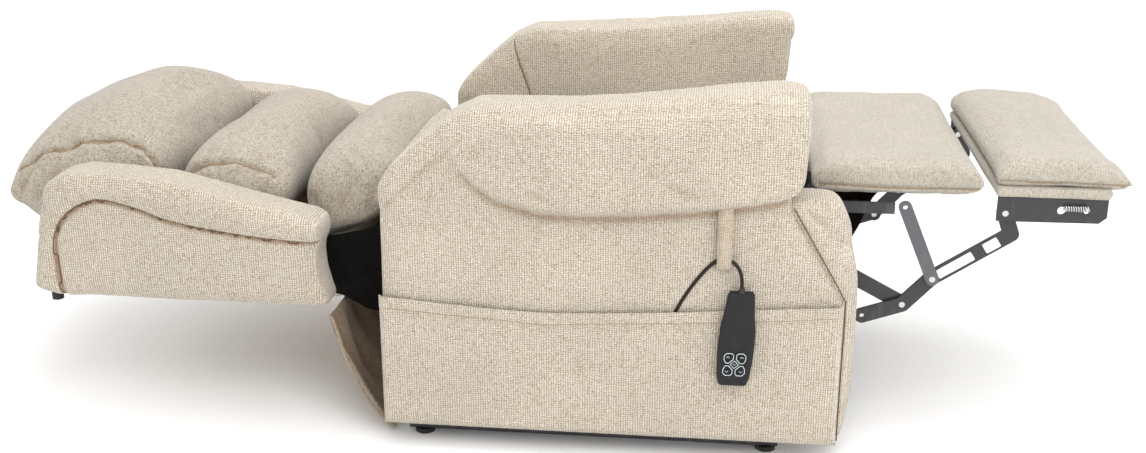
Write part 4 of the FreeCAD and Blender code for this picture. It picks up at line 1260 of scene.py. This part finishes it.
def make_link_labels():
    """Two blank stickers on the outer face of the right bent link."""
    for name, centre, size, lean in (("long_sticker", (0.701, 0.3145), (0.066, 0.016), 34.1),
                                     ("short_sticker", (0.7565, 0.3520), (0.026, 0.018), 34.1)):
        deselect()
        bpy.ops.mesh.primitive_plane_add(size=1)
        sticker = bpy.context.object
        sticker.name = name
        bpy.ops.object.mode_set(mode="EDIT")
        bpy.ops.mesh.select_all(action="SELECT")
        bpy.ops.transform.resize(value=(*size, 1))
        bpy.ops.mesh.bevel(offset=0.002, segments=3, affect="VERTICES")
        bpy.ops.object.mode_set(mode="OBJECT")
        flat = points_of(sticker)
        turn = math.radians(lean)
        x = centre[0] + flat[:, 0] * math.cos(turn) - flat[:, 1] * math.sin(turn)
        z = centre[1] + flat[:, 0] * math.sin(turn) + flat[:, 1] * math.cos(turn)
        set_points(sticker, np.column_stack((x, np.full(len(x), -0.2502), z)))
        apply_modifier(sticker, "SOLIDIFY", thickness=0.0004, offset=0)
        repair(sticker)
        dress(sticker, M["label"], "bent_links")


KEY_INNER, KEY_WIDE, KEY_TALL, KEY_CORNER, CENTRE_KEY = 0.0012, 0.0185, 0.0205, 0.0099, 0.0083
KEY_ACROSS, KEY_UP, HANDSET_LEAN = 0.0112, 0.0125, 0.06
CHEVRON = ((-0.0024, -0.0012), (0, 0.0014), (0.0024, -0.0012))


def key_rim(side, rise, inset):
    """Offsets of one of the four keys round the centre key, its inner corner cut off."""
    inner, wide, tall = KEY_INNER + inset, KEY_WIDE - inset, KEY_TALL - inset
    corner = KEY_CORNER + inset * math.sqrt(2) - inner
    ring = [(inner, corner), (corner, inner), (wide - 0.003, inner), (wide, inner + 0.006),
            (wide, tall - 0.004), (wide - 0.004, tall), (inner + 0.003, tall), (inner, tall - 0.003)]
    return [(side * dx, rise * dz) for dx, dz in ring]


def make_key_outlines():
    """A pale line round the face of each key, and a plain chevron or bar on it."""
    low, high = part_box("handset_button_5")
    middle = [(a + b) / 2 for a, b in zip(low, high)]
    corners = ((-1, 1), (1, 1), (-1, -1), (1, -1))
    reach = CENTRE_KEY - 0.0017
    shapes = [key_rim(side, rise, 0.0012) for side, rise in corners]
    shapes.append([(reach, 0), (0, reach), (-reach, 0), (0, -reach)])
    signs = [[(side * KEY_ACROSS + dx, rise * (KEY_UP + dz)) for dx, dz in CHEVRON]
             for side, rise in corners]
    signs.append([(-0.0022, 0), (0.0022, 0)])
    for number, (shape, sign) in enumerate(zip(shapes, signs), start=1):
        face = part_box("handset_button_%d" % number)[0][1]

        def on_face(line):
            return [(middle[0] + dx + dz * HANDSET_LEAN, face, middle[2] + dz) for dx, dz in line]

        ring = on_face(shape)
        outline = tube("key_outline_%d" % number, ring + ring[:2], 0.0007)
        chevron = tube("key_sign_%d" % number, on_face(sign), 0.0005)
        dress(outline, M["mark"], "button_%d" % number)
        dress(chevron, M["mark"], "button_%d" % number)


# ---- frame, mechanism and handset ----------------------------------------------------

FINISH = {
    "steel": ["base_runners", "base_cross_tubes", "base_brackets", "lift_arm_plates",
              "lift_arm_cross_tubes", "lift_hangers", "mechanism_brackets", "lower_leg_links",
              "bent_leg_links", "foot_brackets", "back_hinge_plates", "back_pins_and_tube"],
    # The upright links carry a painted grey sheen on their black paint.
    "painted_sheen_steel": ["upright_leg_links"],
    "bright": ["seat_springs", "bracket_springs", "leg_link_pins", "mechanism_pins", "base_pivot_pins",
               "lift_rod", "back_rod", "leg_rod"],
    "board": ["seat_rails", "seat_cross_rails", "back_frame"],
    "rubber": ["base_feet", "back_bumpers", "cord_grommet", "cord_strain_relief"],
    "motor": ["lift_motor", "back_motor", "leg_motor", "power_control_box"],
    "charcoal": ["handset_back", "handset_front"],
    "key": ["handset_button_%d" % number for number in range(1, 6)],
}


def finish_frame():
    for finish, names in FINISH.items():
        for name in names:
            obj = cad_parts[name]
            obj.data.materials.clear()
            obj.data.materials.append(M[finish])


def build():
    make_camera()
    make_cord()
    make_studio()
    make_head_pillow()
    make_mid_pillow()
    make_lumbar_pillow()
    make_wing()
    make_outside_back()
    make_arm()
    make_front_facing()
    make_pocket()
    make_strap()
    make_rear_flap()
    make_seat_gusset()
    make_side_gusset()
    make_back_lining()
    make_seat_cushion()
    make_calf_cushion()
    make_calf_lining()
    make_foot_cushion()
    make_foot_board_cover()
    make_link_labels()
    make_key_outlines()
    finish_frame()


build()
